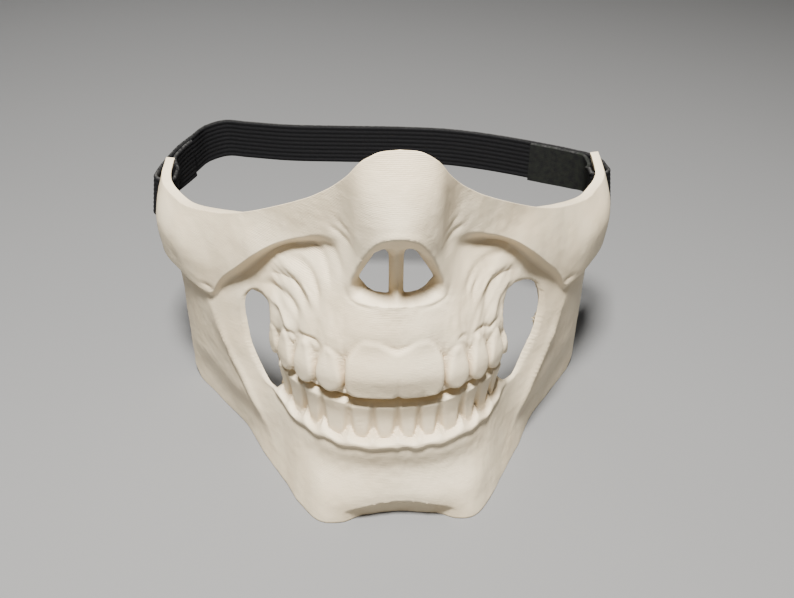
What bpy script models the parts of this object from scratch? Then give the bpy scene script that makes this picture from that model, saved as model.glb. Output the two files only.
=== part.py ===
"""A half-face skull mask, printed in one piece, on a flat elastic strap.

The mask stands on the lower edge of its jaw. +X is the wearer's left as seen
from the front, -Y is the front of the face and +Z is up. The face is drawn as
a distance from an upright axis behind it, at an angle and a height: two sheets
give its form (the jaw with the upper jaw, and the cheekbone band), and the
teeth, the nose and the chin are laid on them.
"""

import math

import bmesh
import bpy
import numpy as np

# Driving dimensions, in metres
MASK_WIDTH = 0.160          # across the ear lugs
MASK_HEIGHT = 0.119         # table to the top of the nose bridge
MASK_DEPTH = 0.096          # front of the chin to the ends of the ear lugs
WALL = 0.0030               # printed wall
STRAP_WIDTH = 0.015         # elastic band, edge to edge
STRAP_THICKNESS = 0.0015    # elastic band
STRAP_REACH = 0.0415        # back of the strap behind the ends of the ear lugs
FOLD_RIGHT = 0.036          # end folded back inside the strap, on the +X side
FOLD_LEFT = 0.030           # end folded back inside the strap, on the -X side
STRAP_GAP = 0.0004          # clearance between the strap and what it lies on
SLOT_WIDTH = 0.0042         # strap slot in an ear lug, along the lug
SLOT_CLEARANCE = 0.0008     # spare height in the slot above and below the strap
LUG_BAR = 0.0055            # bar of the ear lug behind the slot
CROWN_RELIEF = 0.0026       # how far a tooth stands out of the jaw
CAVITY_DEPTH = 0.0075       # nose cavity behind its rim, at the middle
CAVITY_TAPER = 0.80         # size of the cavity's floor against its rim
SEPTUM_WIDTH = 0.0036       # bar between the two nose openings
OPENING_FALL = 0.50         # fall of the nose and side openings for each step back
RIM_FALL = 0.0015           # inner edge under the eyes below the outer edge
CAVITY_RIM_HEIGHT = 0.0007  # raised edge round the nose cavity
CAVITY_RIM_WIDTH = 0.0014   # half of that edge
LIP_HEIGHT = 0.0014         # ridge of the jaw under the lower teeth
GUTTER_DEPTH = 0.0012       # groove between that ridge and the lower teeth
BITE_DEPTH = 0.0042         # groove between the upper and the lower teeth
BITE_SLIT_HEIGHT = 0.0016   # opening between the front teeth
CHIN_NOTCH = 0.0020         # turned under edge between the two chin bumps
CHIN_NOTCH_WIDTH = 0.0260   # that edge, bump to bump

HALF_WIDTH = MASK_WIDTH / 2
AXIS_SETBACK = 0.78 * MASK_DEPTH
FRONT_Y = -(MASK_DEPTH + STRAP_REACH) / 2
AXIS_Y = FRONT_Y + AXIS_SETBACK

# Sections of the jaw sheet, in percent. Each row is a height and then, from
# the middle of the face round to the jaw's back edge, points of the section:
# sideways in percent of HALF_WIDTH, back in percent of MASK_DEPTH.
JAW_SECTIONS = (
    # height, middle, incisor, canine, premolar, molar, hole, jaw line, flank, back
    (0, (0, 1.5), (19, 0.2), (30, 0.8), (37.5, 8), (45, 19.5), (53.5, 32), (63.5, 49), (78, 66), (91, 82)),
    (8, (0, 1), (18, 0.8), (29, 3.5), (37, 12), (45, 24), (53.5, 35.5), (63, 48), (78, 66), (91, 82)),
    (16, (0, 3.5), (17, 4.5), (27.5, 8.5), (37, 16.5), (45, 27), (52.5, 35), (59.5, 41.5), (76, 60.5), (91, 82)),
    (23.5, (0, 2.5), (17, 4), (26.5, 8.5), (37.5, 19), (44.5, 28), (51.5, 36), (61, 43.5), (76.5, 60.5), (91, 82)),
    (32, (0, 6), (17, 7.5), (26.5, 12), (38, 22), (44.5, 30.5), (51.5, 39), (63.5, 46), (78, 61.5), (91, 82)),
    (39, (0, 6), (17.5, 8), (27.5, 12.5), (39, 22.5), (45, 31.5), (51.5, 40.5), (67.5, 50), (80, 64), (91.5, 82)),
    (47, (0, 5), (18, 8), (28.5, 13), (40, 23), (47, 32.5), (54, 41.5), (68.5, 53), (81, 66.5), (92.5, 83)),
    (55.5, (0, 6.5), (17.5, 10), (27.5, 15.5), (39, 25.5), (47.5, 37), (56, 47), (67.5, 55), (81, 70), (93.5, 86)),
    (64, (0, 9), (17, 13.5), (26, 19), (36.5, 29), (46.5, 41), (56, 50), (67.5, 57), (81, 72), (93.5, 89.5)),
    (72, (0, 7), (14, 12), (22.5, 22.5), (32.5, 33), (45, 44), (56, 52), (67.5, 59), (81, 74), (93.5, 91.5)),
    (81, (0, 3.5), (11, 8.5), (20, 19), (31, 28.5), (44, 39), (56, 50), (67.5, 60), (81, 76), (93.5, 93.5)),
    (91, (0, 7), (11, 9.5), (17.5, 16), (27.5, 26), (42.5, 38.5), (56, 51), (69, 62.5), (82.5, 78), (93.5, 96)),
    (100, (0, 12.5), (10, 12.8), (16, 16.5), (26, 26), (41, 38.5), (56, 52), (69, 63.5), (84, 80), (93.5, 98)),
)

# Sections of the cheekbone sheet, in the same form.
CHEEK_SECTIONS = (
    # height, nose side, eye front, eye, cheek front, cheek, corner, arch, lug front, lug end
    (38, (15, 14), (27.5, 20), (39, 26), (50, 34), (62, 44.5), (72.5, 54), (86, 69), (96, 83), (97, 100)),
    (47, (16, 15.5), (27.5, 21), (39, 27), (50, 35), (62.5, 45), (73, 54), (88.5, 69), (98, 83), (99, 100)),
    (55.5, (16.5, 16.5), (27.5, 22), (39, 28), (50, 35.5), (62.5, 45.5), (74, 56), (90, 70), (98.5, 83), (99.5, 100)),
    (64, (17, 17.5), (27.5, 23), (39, 29.5), (50, 37), (62.5, 48.5), (74, 60.5), (87.5, 75), (95.5, 85), (97, 100)),
    (72, (17.5, 18.5), (27.5, 24.5), (39, 32.5), (50, 41.5), (62.5, 53), (72, 64.5), (84, 79), (91, 88), (94, 100)),
    (81, (17.5, 18.8), (27.5, 25), (39, 34), (50, 43.5), (62.5, 56), (71.5, 66.5), (82.5, 80), (89, 89.5), (93, 100)),
    (100, (16, 16.5), (26, 26), (41, 38.5), (56, 52), (69, 63.5), (75, 71), (84, 80), (89, 90.5), (93, 100)),
)

# Lower edge of the cheekbone band: sideways, back and height in percent.
CHEEK_EDGE = (
    (19, 23, 74), (26, 25, 73), (33, 28, 71), (40, 31, 69), (46, 34, 66.5), (52, 38, 62.5),
    (60, 44, 56), (69, 50.5, 48.5), (72.5, 54, 43.5), (76, 58, 42.5), (86, 70, 43), (96, 84, 44),
)

# Upper edge of the mask, under the eyes: sideways, back and height in percent.
EYE_EDGE = (
    (0, 12.5, 100), (8, 12.6, 99.2), (12.5, 13.3, 97), (16.5, 16, 93), (20.5, 19.5, 89.5),
    (27, 25, 85.2), (34, 30.5, 81.5), (41, 36.5, 78), (56, 48, 71.5), (68, 59, 67.2),
    (82, 76, 64.5), (88, 88, 66.4), (93, 100, 68.5),
)

# Upper teeth from the middle out: sideways and back of the tooth's far side,
# heights of its biting edge and its gum, all in percent, and its relief as a
# share of CROWN_RELIEF.
UPPER_TEETH = (
    # far side, back, biting edge, gum, relief
    (17.9, 7.3, 39.2, 56.5, 1.15),
    (27.9, 11.5, 39.4, 54.5, 1.0),
    (35.6, 17.7, 38.6, 54.5, 1.0),
    (42.0, 25.0, 37.3, 51.5, 0.9),
    (46.2, 31.5, 37.0, 48.5, 0.7),
)

# Lower teeth in the same form: the biting edge is their upper end.
LOWER_TEETH = (
    (8.6, 4.7, 37.6, 25.2, 0.75),
    (16.8, 6.3, 37.6, 25.2, 0.8),
    (26.3, 10.4, 37.0, 24.8, 0.95),
    (32.9, 15.6, 35.8, 24.4, 0.9),
    (39.5, 21.9, 34.6, 24.0, 0.85),
    (42.8, 28.1, 34.4, 25.0, 0.7),
)

# Outline of the nose cavity's rim: sideways and height in percent.
CAVITY_RIM = (
    (0, 82.3), (7, 80.5), (11.5, 76.5), (15.5, 70.5), (17.2, 66), (16.4, 62.8), (11, 60.5), (0, 59.3),
)

# Outline of one nose opening, from the septum round: sideways and height.
NOSE_OPENING = (
    (2.5, 72.5), (5.6, 75.4), (8.4, 73.8), (12.6, 68.4), (12.2, 66), (9.2, 64.2), (5, 63.3), (2.5, 63.8),
)

# Outline of one side hole: sideways, back and height in percent.
SIDE_HOLE = (
    (51, 40.5, 52.3), (56.5, 45, 50.8), (59.7, 47, 46.8), (60.2, 46.5, 42), (59.5, 45, 37),
    (57.2, 42.3, 31), (53.5, 38.7, 26.5), (49, 34, 24.3), (45.2, 30, 25), (43.5, 28, 29),
    (44, 29, 34), (46, 33, 37), (45.8, 33, 41), (44.2, 31, 46), (46.5, 35, 51),
)

# Columns of the mesh between two teeth borders, and rows by height in percent
TOOTH_COLUMNS = (6, 4, 3, 3, 2)
FLANK_COLUMNS = 15
ROW_HEIGHTS = (
    0, 3, 6.5, 11, 15.5, 19.5, 22.3, 23.8, 25, 27, 30, 33.3, 35.6, 37.2, 38.3, 39.6, 41.5,
    44.5, 48, 51, 54, 57, 60, 63.5, 66.5, 69.5, 73.5, 78, 82, 86, 90.5, 95.5, 100,
)
LEVEL_ROWS_END = 54         # rows above this one slope towards the cheekbone's edge
CHEEK_EDGE_ROW = 66.5       # row that lies on the cheekbone's lower edge

# The strap's loop behind the mask, from +X to -X: sideways in percent of
# HALF_WIDTH, back from the lug ends in percent of STRAP_REACH, and the height
# of its middle in percent of MASK_HEIGHT.
STRAP_LOOP = (
    (96, 12, 59), (87.5, 21, 59.4), (75, 34, 59.5), (62.5, 48, 59.4), (48, 62.5, 59.2),
    (33, 74, 59), (10, 81, 59), (-19, 85, 59), (-47.5, 89, 59.2), (-66, 96, 59.4),
    (-76, 99.5, 59.5), (-84, 88, 59.5), (-89.5, 63, 59.4), (-95.5, 31, 59.2),
)
STRAP_STEP = 0.0028         # length between two sections of the strap's mesh

SHARP_ANGLE = 38            # edges sharper than this stay crisp, in degrees
LUG_MIDDLE = 0.58 * MASK_HEIGHT
BITE_LEVEL, GUTTER_LEVEL, LIP_LEVEL = 38.3, 24.9, 23.2     # percent of MASK_HEIGHT
BITE_SLIT_END = (13.5, 6)   # sideways and back, in percent
JAW_BACK, LUG_BACK = (91, 82), (98, 100)                   # back edges, the same way
CAVITY_MIDDLE = 0.69 * MASK_HEIGHT


def smooth_step(value):
    """Ease from 0 to 1 as value goes from 0 to 1."""
    t = np.clip(value, 0.0, 1.0)
    return t * t * (3 - 2 * t)


def bell(distance, width):
    """A soft bump of height 1 that is width wide at half height on each side."""
    return np.exp(-0.693 * (distance / width) ** 2)


def curve_through(knots, values, at):
    """Read a smooth curve through (knots, values) at the places in at."""
    knots = np.asarray(knots, float)
    values = np.asarray(values, float)
    slopes = np.gradient(values, knots)
    at = np.clip(at, knots[0], knots[-1])
    i = np.clip(np.searchsorted(knots, at) - 1, 0, len(knots) - 2)
    return hermite(at, knots[i], knots[i + 1], values[i], values[i + 1], slopes[i], slopes[i + 1])


def hermite(at, k0, k1, v0, v1, s0, s1):
    """Cubic between two knots with a value and a slope at each."""
    step = k1 - k0
    t = (at - k0) / step
    return (v0 * (1 + 2 * t) * (1 - t) ** 2 + s0 * step * t * (1 - t) ** 2
            + v1 * t * t * (3 - 2 * t) + s1 * step * t * t * (t - 1))


def angle_of(sideways, back):
    """Angle round the axis of a point given in percent, 0 at the front."""
    return np.arctan2(np.asarray(sideways) / 100 * HALF_WIDTH,
                      AXIS_SETBACK - np.asarray(back) / 100 * MASK_DEPTH)


class Sheet:
    """A smooth sheet through a table of sections."""

    def __init__(self, sections):
        """Keep the heights and the points of the sections in metres."""
        self.heights = np.array([row[0] for row in sections]) / 100 * MASK_HEIGHT
        points = np.array([row[1:] for row in sections], float) / 100
        self.sideways = points[:, :, 0] * HALF_WIDTH
        self.back = points[:, :, 1] * MASK_DEPTH

    def radius(self, angle, height):
        """Distance of the sheet from the axis at each angle and height."""
        across = np.abs(angle)
        x = np.stack([curve_through(self.heights, column, height) for column in self.sideways.T], -1)
        y = np.stack([curve_through(self.heights, column, height) for column in self.back.T], -1)
        knots = np.arctan2(x, AXIS_SETBACK - y)
        values = np.hypot(x, AXIS_SETBACK - y)
        if np.all(knots[..., 0] < 1e-6):
            knots = np.concatenate([-knots[..., 1:2], knots], -1)
            values = np.concatenate([values[..., 1:2], values], -1)
        rise = (values[..., 2:] - values[..., :-2]) / (knots[..., 2:] - knots[..., :-2])
        first = (values[..., 1:2] - values[..., 0:1]) / (knots[..., 1:2] - knots[..., 0:1])
        last = (values[..., -1:] - values[..., -2:-1]) / (knots[..., -1:] - knots[..., -2:-1])
        slopes = np.concatenate([first, rise, last], -1)
        i = np.sum(knots[..., 1:-1] < across[..., None], -1)[..., None]

        def pick(table, index):
            return np.take_along_axis(table, index, -1)[..., 0]

        inside = np.clip(across, knots[..., 0], knots[..., -1])
        return hermite(inside, pick(knots, i), pick(knots, i + 1), pick(values, i),
                       pick(values, i + 1), pick(slopes, i), pick(slopes, i + 1))


JAW = Sheet(JAW_SECTIONS)
CHEEK = Sheet(CHEEK_SECTIONS)


def edge_height(table, angle):
    """Height of an edge line at each angle, from a table of its points."""
    rows = np.array(table, float)
    knots = angle_of(rows[:, 0], rows[:, 1])
    return curve_through(knots, rows[:, 2] / 100 * MASK_HEIGHT, np.abs(angle))


def cheek_share(angle, height):
    """How far the cheekbone sheet has taken over from the jaw sheet."""
    step = 0.05 * MASK_HEIGHT
    above = (height - edge_height(CHEEK_EDGE, angle)) / step
    from_nose = (np.abs(angle) - angle_of(13, 15)) / angle_of(12, 5)
    return smooth_step(above + 0.4) * smooth_step(from_nose)


def teeth_relief(angle, height, table):
    """Height of one row of teeth over the jaw, nothing between and beyond them."""
    across = np.abs(angle)
    relief = np.zeros_like(across)
    near = 0.0
    for sideways, back, biting_edge, gum, share in table:
        far = float(angle_of(sideways, back))
        along = (height / MASK_HEIGHT * 100 - biting_edge) / (gum - biting_edge)
        narrowing = 1 - 0.62 * smooth_step((along - 0.5) / 0.5)
        across_tooth = (across - (near + far) / 2) / ((far - near) / 2) / narrowing
        crown = np.sqrt(np.clip(1 - across_tooth ** 4, 0, 1))
        ends = smooth_step(along / 0.08 + 0.5) * (1 - smooth_step((along - 0.72) / 0.3))
        swell = 0.82 + 0.18 * np.sin(math.pi * np.clip(along, 0, 1) ** 0.8)
        relief = np.maximum(relief, share * CROWN_RELIEF * crown * ends * swell)
        near = far
    return relief


def outline_depth(angle, height, outline):
    """Signed distance in metres inside a half outline and its mirror image."""
    points = np.array(outline, float) / 100 * (HALF_WIDTH, MASK_HEIGHT)
    points = np.concatenate([points, points[-2:0:-1] * (-1, 1)])
    front = JAW.radius(np.zeros_like(angle), height)
    return polygon_depth(front * np.sin(angle), height, points)


def polygon_depth(x, z, points):
    """Distance to a closed polygon, positive inside it."""
    nearest = np.full(x.shape, np.inf)
    inside = np.zeros(x.shape, bool)
    for (x0, z0), (x1, z1) in zip(points, np.roll(points, -1, 0)):
        run, rise = x1 - x0, z1 - z0
        t = np.clip(((x - x0) * run + (z - z0) * rise) / (run * run + rise * rise), 0, 1)
        nearest = np.minimum(nearest, np.hypot(x - x0 - t * run, z - z0 - t * rise))
        if rise:
            inside ^= ((z0 > z) != (z1 > z)) & (x < run * (z - z0) / rise + x0)
    return np.where(inside, nearest, -nearest)


def face_radius(angle, height):
    """Outer surface of the mask at each angle and height."""
    jaw = JAW.radius(angle, height)
    share = cheek_share(angle, height)
    radius = jaw + share * (CHEEK.radius(angle, height) - jaw)
    percent = height / MASK_HEIGHT * 100
    across = np.abs(angle)
    sideways = radius * np.sin(across)

    teeth = np.maximum(teeth_relief(angle, height, UPPER_TEETH),
                       teeth_relief(angle, height, LOWER_TEETH))
    past_teeth = across / float(angle_of(*UPPER_TEETH[-1][:2]))
    bite = bell(percent - BITE_LEVEL, 0.9) * (1 - smooth_step((past_teeth - 1) / 0.17))
    gutter = bell(percent - GUTTER_LEVEL, 0.7) * (1 - smooth_step((past_teeth - 0.8) / 0.22))
    lip = bell(percent - LIP_LEVEL, 1.2) * (1 - smooth_step((past_teeth - 0.85) / 0.29))
    radius = radius + teeth - bite * BITE_DEPTH - gutter * GUTTER_DEPTH + lip * LIP_HEIGHT

    rim = bell(outline_depth(angle, height, CAVITY_RIM) + 0.0012, CAVITY_RIM_WIDTH)
    radius = radius + rim * CAVITY_RIM_HEIGHT
    in_notch = (CHIN_NOTCH_WIDTH / 2 + 0.0020 - sideways) / 0.0040
    notch = smooth_step((5.5 - percent) / 2) * smooth_step(in_notch)
    return radius - CHIN_NOTCH * notch


def back_angle(height):
    """Angle of the mask's back edge: the jaw's below, the ear lug's above."""
    percent = height / MASK_HEIGHT * 100
    jaw_back, lug_back = float(angle_of(*JAW_BACK)), float(angle_of(*LUG_BACK))
    corner = 0.06 * (1 - smooth_step(percent / 6))
    return jaw_back - corner + (lug_back - jaw_back) * smooth_step((percent - 43.5) / 10)


def column_angles():
    """Angles of the mesh's columns at the upper and the lower teeth, one side."""
    upper, lower = [0.0], [0.0]
    lower_ends = [row[:2] for row in LOWER_TEETH[1:]]
    for tooth, (row, low, count) in enumerate(zip(UPPER_TEETH, lower_ends, TOOTH_COLUMNS)):
        start, far, low_far = upper[-1], float(angle_of(*row[:2])), float(angle_of(*low))
        low_start = lower[-1]
        for step in range(1, count + 1):
            upper.append(start + (far - start) * step / count)
            lower.append(low_start + (low_far - low_start) * step / count)
    return np.array(upper), np.array(lower)


def grid_places():
    """Angle and height of each crossing of the mesh, rows by columns."""
    upper, lower = column_angles()
    rows = np.array(ROW_HEIGHTS, float)[:, None] / 100 * MASK_HEIGHT
    turn = smooth_step((rows / MASK_HEIGHT * 100 - 35.5) / 5)
    teeth = lower + (upper - lower) * turn
    steps = np.linspace(0, 1, FLANK_COLUMNS + 1)[1:]
    flank = teeth[:, -1:] + (back_angle(rows) - teeth[:, -1:]) * steps
    half = np.concatenate([teeth, flank], 1)
    angle = np.concatenate([-half[:, :0:-1], half], 1)
    level, edge_row = LEVEL_ROWS_END / 100 * MASK_HEIGHT, CHEEK_EDGE_ROW / 100 * MASK_HEIGHT
    edge, top = edge_height(CHEEK_EDGE, angle), edge_height(EYE_EDGE, angle)
    hinge = np.minimum(level, edge - (edge_row - level))
    low = rows * hinge / level
    middle = hinge + (rows - level) / (edge_row - level) * (edge - hinge)
    high = edge + (rows - edge_row) / (MASK_HEIGHT - edge_row) * (top - edge)
    return angle, np.where(rows <= level, low, np.where(rows <= edge_row, middle, high))


def smallest_nearby(values, reach):
    """Smallest value within reach crossings, along rows and then columns."""
    for axis in (0, 1):
        for _ in range(reach):
            moved_up = np.roll(values, 1, axis)
            moved_down = np.roll(values, -1, axis)
            if axis == 0:
                moved_up[0], moved_down[-1] = values[0], values[-1]
            else:
                moved_up[:, 0], moved_down[:, -1] = values[:, 0], values[:, -1]
            values = np.minimum(values, np.minimum(moved_up, moved_down))
    return values


def smoothed(values, times):
    """Average each crossing with its neighbours, some times over."""
    for _ in range(times):
        wide = np.pad(values, 1, mode="edge")
        values = (wide[1:-1, 1:-1] * 4 + wide[:-2, 1:-1] + wide[2:, 1:-1]
                  + wide[1:-1, :-2] + wide[1:-1, 2:]) / 8
    return values


def inner_radius(angle, height, outer):
    """Plain inner wall, a printed wall's thickness behind the face."""
    cavity = smooth_step(outline_depth(angle, height, CAVITY_RIM) / 0.003 + 1.3)
    behind = outer + cavity * (np.minimum(outer, cavity_floor()) - outer)
    low = smoothed(smallest_nearby(behind, 1), 6)
    low = np.minimum(low, behind - 0.1 * WALL)
    low += (outer - low) * smooth_step((np.abs(angle) - 1.2) / 0.35)
    lean_up = np.gradient(low, axis=0) / np.gradient(height, axis=0)
    lean_round = np.gradient(low, axis=1) / np.gradient(angle, axis=1) / low
    lean = np.clip(np.sqrt(1 + lean_up ** 2 + lean_round ** 2), 1, 1.7)
    return low - WALL * smoothed(lean, 2)


def cavity_floor():
    """Distance of the nose cavity's floor from the axis."""
    return float(JAW.radius(np.zeros(1), np.array([CAVITY_MIDDLE]))[0]) - CAVITY_DEPTH


def place(angle, height, radius):
    """Points in the part's frame."""
    return np.stack([radius * np.sin(angle), AXIS_Y - radius * np.cos(angle), height], -1)


def material(name, colour, roughness):
    """A plain finish."""
    finish = bpy.data.materials.new(name)
    finish.use_nodes = True
    shader = finish.node_tree.nodes["Principled BSDF"]
    shader.inputs["Base Color"].default_value = (*colour, 1)
    shader.inputs["Roughness"].default_value = roughness
    shader.inputs["Metallic"].default_value = 0.0
    return finish


def add_object(name, mesh, finish):
    """Put a mesh in the scene as one named object."""
    piece = bpy.data.objects.new(name, mesh)
    bpy.context.scene.collection.objects.link(piece)
    piece.data.materials.append(finish)
    return piece


class Wall:
    """The mask's outer and inner surface, on the crossings of its mesh."""

    def __init__(self):
        """Work the surfaces out."""
        self.angle, self.height = grid_places()
        self.outer = face_radius(self.angle, self.height)
        self.inner = inner_radius(self.angle, self.height, self.outer)
        at_rim = smooth_step((np.array(ROW_HEIGHTS) - 90) / 10)[:, None]
        at_eye = 1 - smooth_step((np.abs(self.angle) - 0.9) / 0.3)
        self.inner_height = self.height - RIM_FALL * at_rim * at_eye

    def radii(self, angle, height):
        """Outer and inner distance from the axis at one place."""
        levels = []
        for table in (self.angle, self.outer, self.inner):
            levels.append([np.interp(height, heights, values)
                           for heights, values in zip(self.height.T, table.T)])
        return (float(np.interp(angle, levels[0], levels[1])),
                float(np.interp(angle, levels[0], levels[2])))

    def mesh(self, name):
        """The closed shell, before its openings are cut."""
        rows, columns = self.angle.shape
        walls = {True: place(self.angle, self.height, self.outer),
                 False: place(self.angle, self.inner_height, self.inner)}
        bm = bmesh.new()
        bmesh.ops.create_grid(bm, x_segments=columns - 1, y_segments=rows - 1, size=1)
        bmesh.ops.solidify(bm, geom=bm.faces[:], thickness=0.1)
        middle = sum(vert.co.z for vert in bm.verts) / len(bm.verts)
        for vert in bm.verts:
            column = round((vert.co.x + 1) / 2 * (columns - 1))
            row = round((vert.co.y + 1) / 2 * (rows - 1))
            vert.co = walls[vert.co.z > middle][row, column]
        bmesh.ops.recalc_face_normals(bm, faces=bm.faces[:])
        return finished_mesh(bm, name)


def finished_mesh(bm, name):
    """Turn a bmesh into a mesh."""
    mesh = bpy.data.meshes.new(name)
    bm.to_mesh(mesh)
    bm.free()
    mesh.shade_smooth()
    mesh.set_sharp_from_angle(angle=math.radians(SHARP_ANGLE))
    return mesh


def cutter(name, near_spots, far_spots):
    """A hidden cutter between two outlines with as many points each."""
    bm = bmesh.new()
    rings = [[bm.verts.new(spot) for spot in spots] for spots in (near_spots, far_spots)]
    bm.faces.new(rings[0])
    bm.faces.new(rings[1][::-1])
    count = len(rings[0])
    for i in range(count):
        j = (i + 1) % count
        bm.faces.new((rings[0][i], rings[0][j], rings[1][j], rings[1][i]))
    bmesh.ops.triangulate(bm, faces=bm.faces[:])
    bmesh.ops.recalc_face_normals(bm, faces=bm.faces[:])
    shape = bpy.data.objects.new(name, finished_mesh(bm, name))
    bpy.context.scene.collection.objects.link(shape)
    shape.hide_render = True
    shape.display_type = "WIRE"
    return shape


def through_cutter(name, outline):
    """A cutter right through the wall, along lines from the axis."""
    near, far = 0.25 * HALF_WIDTH, 1.6 * HALF_WIDTH
    return cutter(name, place(outline[:, 0], outline[:, 1], near),
                  place(outline[:, 0], outline[:, 1], far))


def cut(piece, tool):
    """Take a cutter's shape out of a piece with an exact boolean."""
    boolean = piece.modifiers.new(tool.name, "BOOLEAN")
    boolean.operation = "DIFFERENCE"
    boolean.object = tool


def rounded(points, steps):
    """A closed smooth curve through the points of an outline."""
    points = np.asarray(points, float)
    result = []
    for i in range(len(points)):
        a, b, c, d = (points[(i + k) % len(points)] for k in (-1, 0, 1, 2))
        for step in range(steps):
            t = step / steps
            result.append(0.5 * (2 * b + (c - a) * t + (2 * a - 5 * b + 4 * c - d) * t * t
                                 + (3 * b - a - 3 * c + d) * t ** 3))
    return np.array(result)


def front_angles(points):
    """Angles and heights of points of the face's front, given sideways and up."""
    front = JAW.radius(np.zeros(len(points)), points[:, 1])
    return np.stack([np.arcsin(points[:, 0] / front), points[:, 1]], -1)


def nose_spots():
    """Points round the nose opening on the +X side, on the cavity's floor."""
    points = rounded(np.array(NOSE_OPENING) / 100 * (HALF_WIDTH, MASK_HEIGHT), 3)
    points[:, 0] = np.maximum(points[:, 0], SEPTUM_WIDTH / 2)
    angles = front_angles(points)
    return place(angles[:, 0], angles[:, 1], cavity_floor())


def cavity_cutter():
    """The nose cavity's pocket: its rim in front, a smaller floor behind."""
    half = np.array(CAVITY_RIM) / 100 * (HALF_WIDTH, MASK_HEIGHT)
    rim = rounded(np.concatenate([half, half[-2:0:-1] * (-1, 1)]), 2)
    middle = np.array([0, CAVITY_MIDDLE])
    floor, front = cavity_floor(), cavity_floor() + CAVITY_DEPTH
    far = 1.25 * front
    widen = (1 - CAVITY_TAPER) * (far - front) / CAVITY_DEPTH
    near_spots = front_angles(middle + (rim - middle) * CAVITY_TAPER)
    far_spots = front_angles(middle + (rim - middle) * (1 + 0.3 * widen))
    return cutter("cavity_cut", place(near_spots[:, 0], near_spots[:, 1], floor),
                  place(far_spots[:, 0], far_spots[:, 1], far))


def side_spots():
    """Points round the side hole on the +X side, on the face."""
    points = np.array(SIDE_HOLE, float) / 100 * (HALF_WIDTH, MASK_DEPTH, MASK_HEIGHT)
    return rounded(points + (0, FRONT_Y, 0), 2)


def slanting_cutter(name, spots):
    """A cutter through the wall that falls as it goes back, as both openings do."""
    way = np.array([0, 1, -OPENING_FALL])
    return cutter(name, spots - way * 2 * WALL, spots + way * 5 * WALL)


def slot_angles(wall):
    """Angles of the slot's front and back edge in an ear lug."""
    back = float(back_angle(np.array(LUG_MIDDLE)))
    radius = wall.radii(back, LUG_MIDDLE)[0]
    return back - (LUG_BAR + SLOT_WIDTH) / radius, back - LUG_BAR / radius


def slot_outline(wall):
    """Angles and heights of the strap slot on the +X side."""
    front, back = slot_angles(wall)
    half = STRAP_WIDTH / 2 + SLOT_CLEARANCE
    low, high = LUG_MIDDLE - half, LUG_MIDDLE + half
    return np.array([(front, low), (back, low), (back, high), (front, high)])


def bite_outline():
    """Angles and heights of the opening between the front teeth."""
    span = float(angle_of(*BITE_SLIT_END))
    steps = np.linspace(-span, span, 9)
    middle = BITE_LEVEL / 100 * MASK_HEIGHT
    low = np.stack([steps, np.full(9, middle - BITE_SLIT_HEIGHT / 2)], -1)
    high = np.stack([steps[::-1], np.full(9, middle + BITE_SLIT_HEIGHT / 2)], -1)
    return np.concatenate([low, high])


def build_mask(wall):
    """The printed mask with its nose, side holes, strap slots and bite cut out."""
    finish = material("ivory_print", (0.80, 0.77, 0.70), 0.62)
    mask = add_object("mask_shell", wall.mesh("mask_shell"), finish)
    cut(mask, cavity_cutter())
    for name, spots in {"nose": nose_spots(), "side": side_spots()}.items():
        cut(mask, slanting_cutter(f"{name}_cut_left", spots))
        cut(mask, slanting_cutter(f"{name}_cut_right", spots[::-1] * (-1, 1, 1)))
    slot = slot_outline(wall)
    cut(mask, through_cutter("slot_cut_left", slot))
    cut(mask, through_cutter("slot_cut_right", slot[::-1] * (-1, 1)))
    cut(mask, through_cutter("bite_cut", bite_outline()))
    return mask


class LugBar:
    """The bar of the +X ear lug that the strap turns round."""

    def __init__(self, wall):
        """Find the bar's middle, its directions and how far the strap stands off it."""
        slot_back, end = slot_angles(wall)[1], float(back_angle(np.array(LUG_MIDDLE)))
        middle = (slot_back + end) / 2
        reach = STRAP_WIDTH / 2

        def spot(angle, height, side):
            return place(angle, height, wall.radii(angle, height)[side])

        self.centre = (spot(middle, LUG_MIDDLE, 0) + spot(middle, LUG_MIDDLE, 1)) / 2
        along = spot(end, LUG_MIDDLE, 0) - spot(slot_back, LUG_MIDDLE, 0)
        self.along = along / np.linalg.norm(along)
        up = spot(middle, LUG_MIDDLE + reach, 0) - spot(middle, LUG_MIDDLE - reach, 0)
        up -= self.along * (up @ self.along)
        self.up = up / np.linalg.norm(up)
        self.out = np.cross(self.along, self.up)
        proud = [[(spot(angle, LUG_MIDDLE + rise, side) - self.centre) @ self.out
                  for angle in (slot_back, middle, end) for rise in (-reach, 0, reach)]
                 for side in (0, 1)]
        stand_off = STRAP_GAP + STRAP_THICKNESS / 2
        self.outside = max(proud[0]) + stand_off
        self.inside = min(proud[1]) - stand_off

    def at(self, along, out):
        """A point beside the bar."""
        return self.centre + self.along * along + self.out * out

    def turn(self):
        """The strap's way through the slot, from inside the bar to outside it."""
        middle, radius = (self.outside + self.inside) / 2, (self.outside - self.inside) / 2
        start = -LUG_BAR / 2 + 0.3 * radius
        bends = np.linspace(-math.pi / 2, math.pi / 2, 9)
        return [self.at(start - radius * math.cos(b), middle + radius * math.sin(b)) for b in bends]


def smooth_route(points, spacing):
    """Points at an even spacing on a smooth curve through the given points."""
    points = np.asarray(points, float)
    length = np.concatenate([[0], np.cumsum(np.linalg.norm(np.diff(points, axis=0), axis=1))])
    fine = np.linspace(0, length[-1], 40 * len(points))
    curve = np.stack([curve_through(length, column, fine) for column in points.T], -1)
    run = np.concatenate([[0], np.cumsum(np.linalg.norm(np.diff(curve, axis=0), axis=1))])
    even = np.linspace(0, run[-1], max(2, round(run[-1] / spacing)) + 1)
    return np.stack([np.interp(even, run, column) for column in curve.T], -1)


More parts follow.
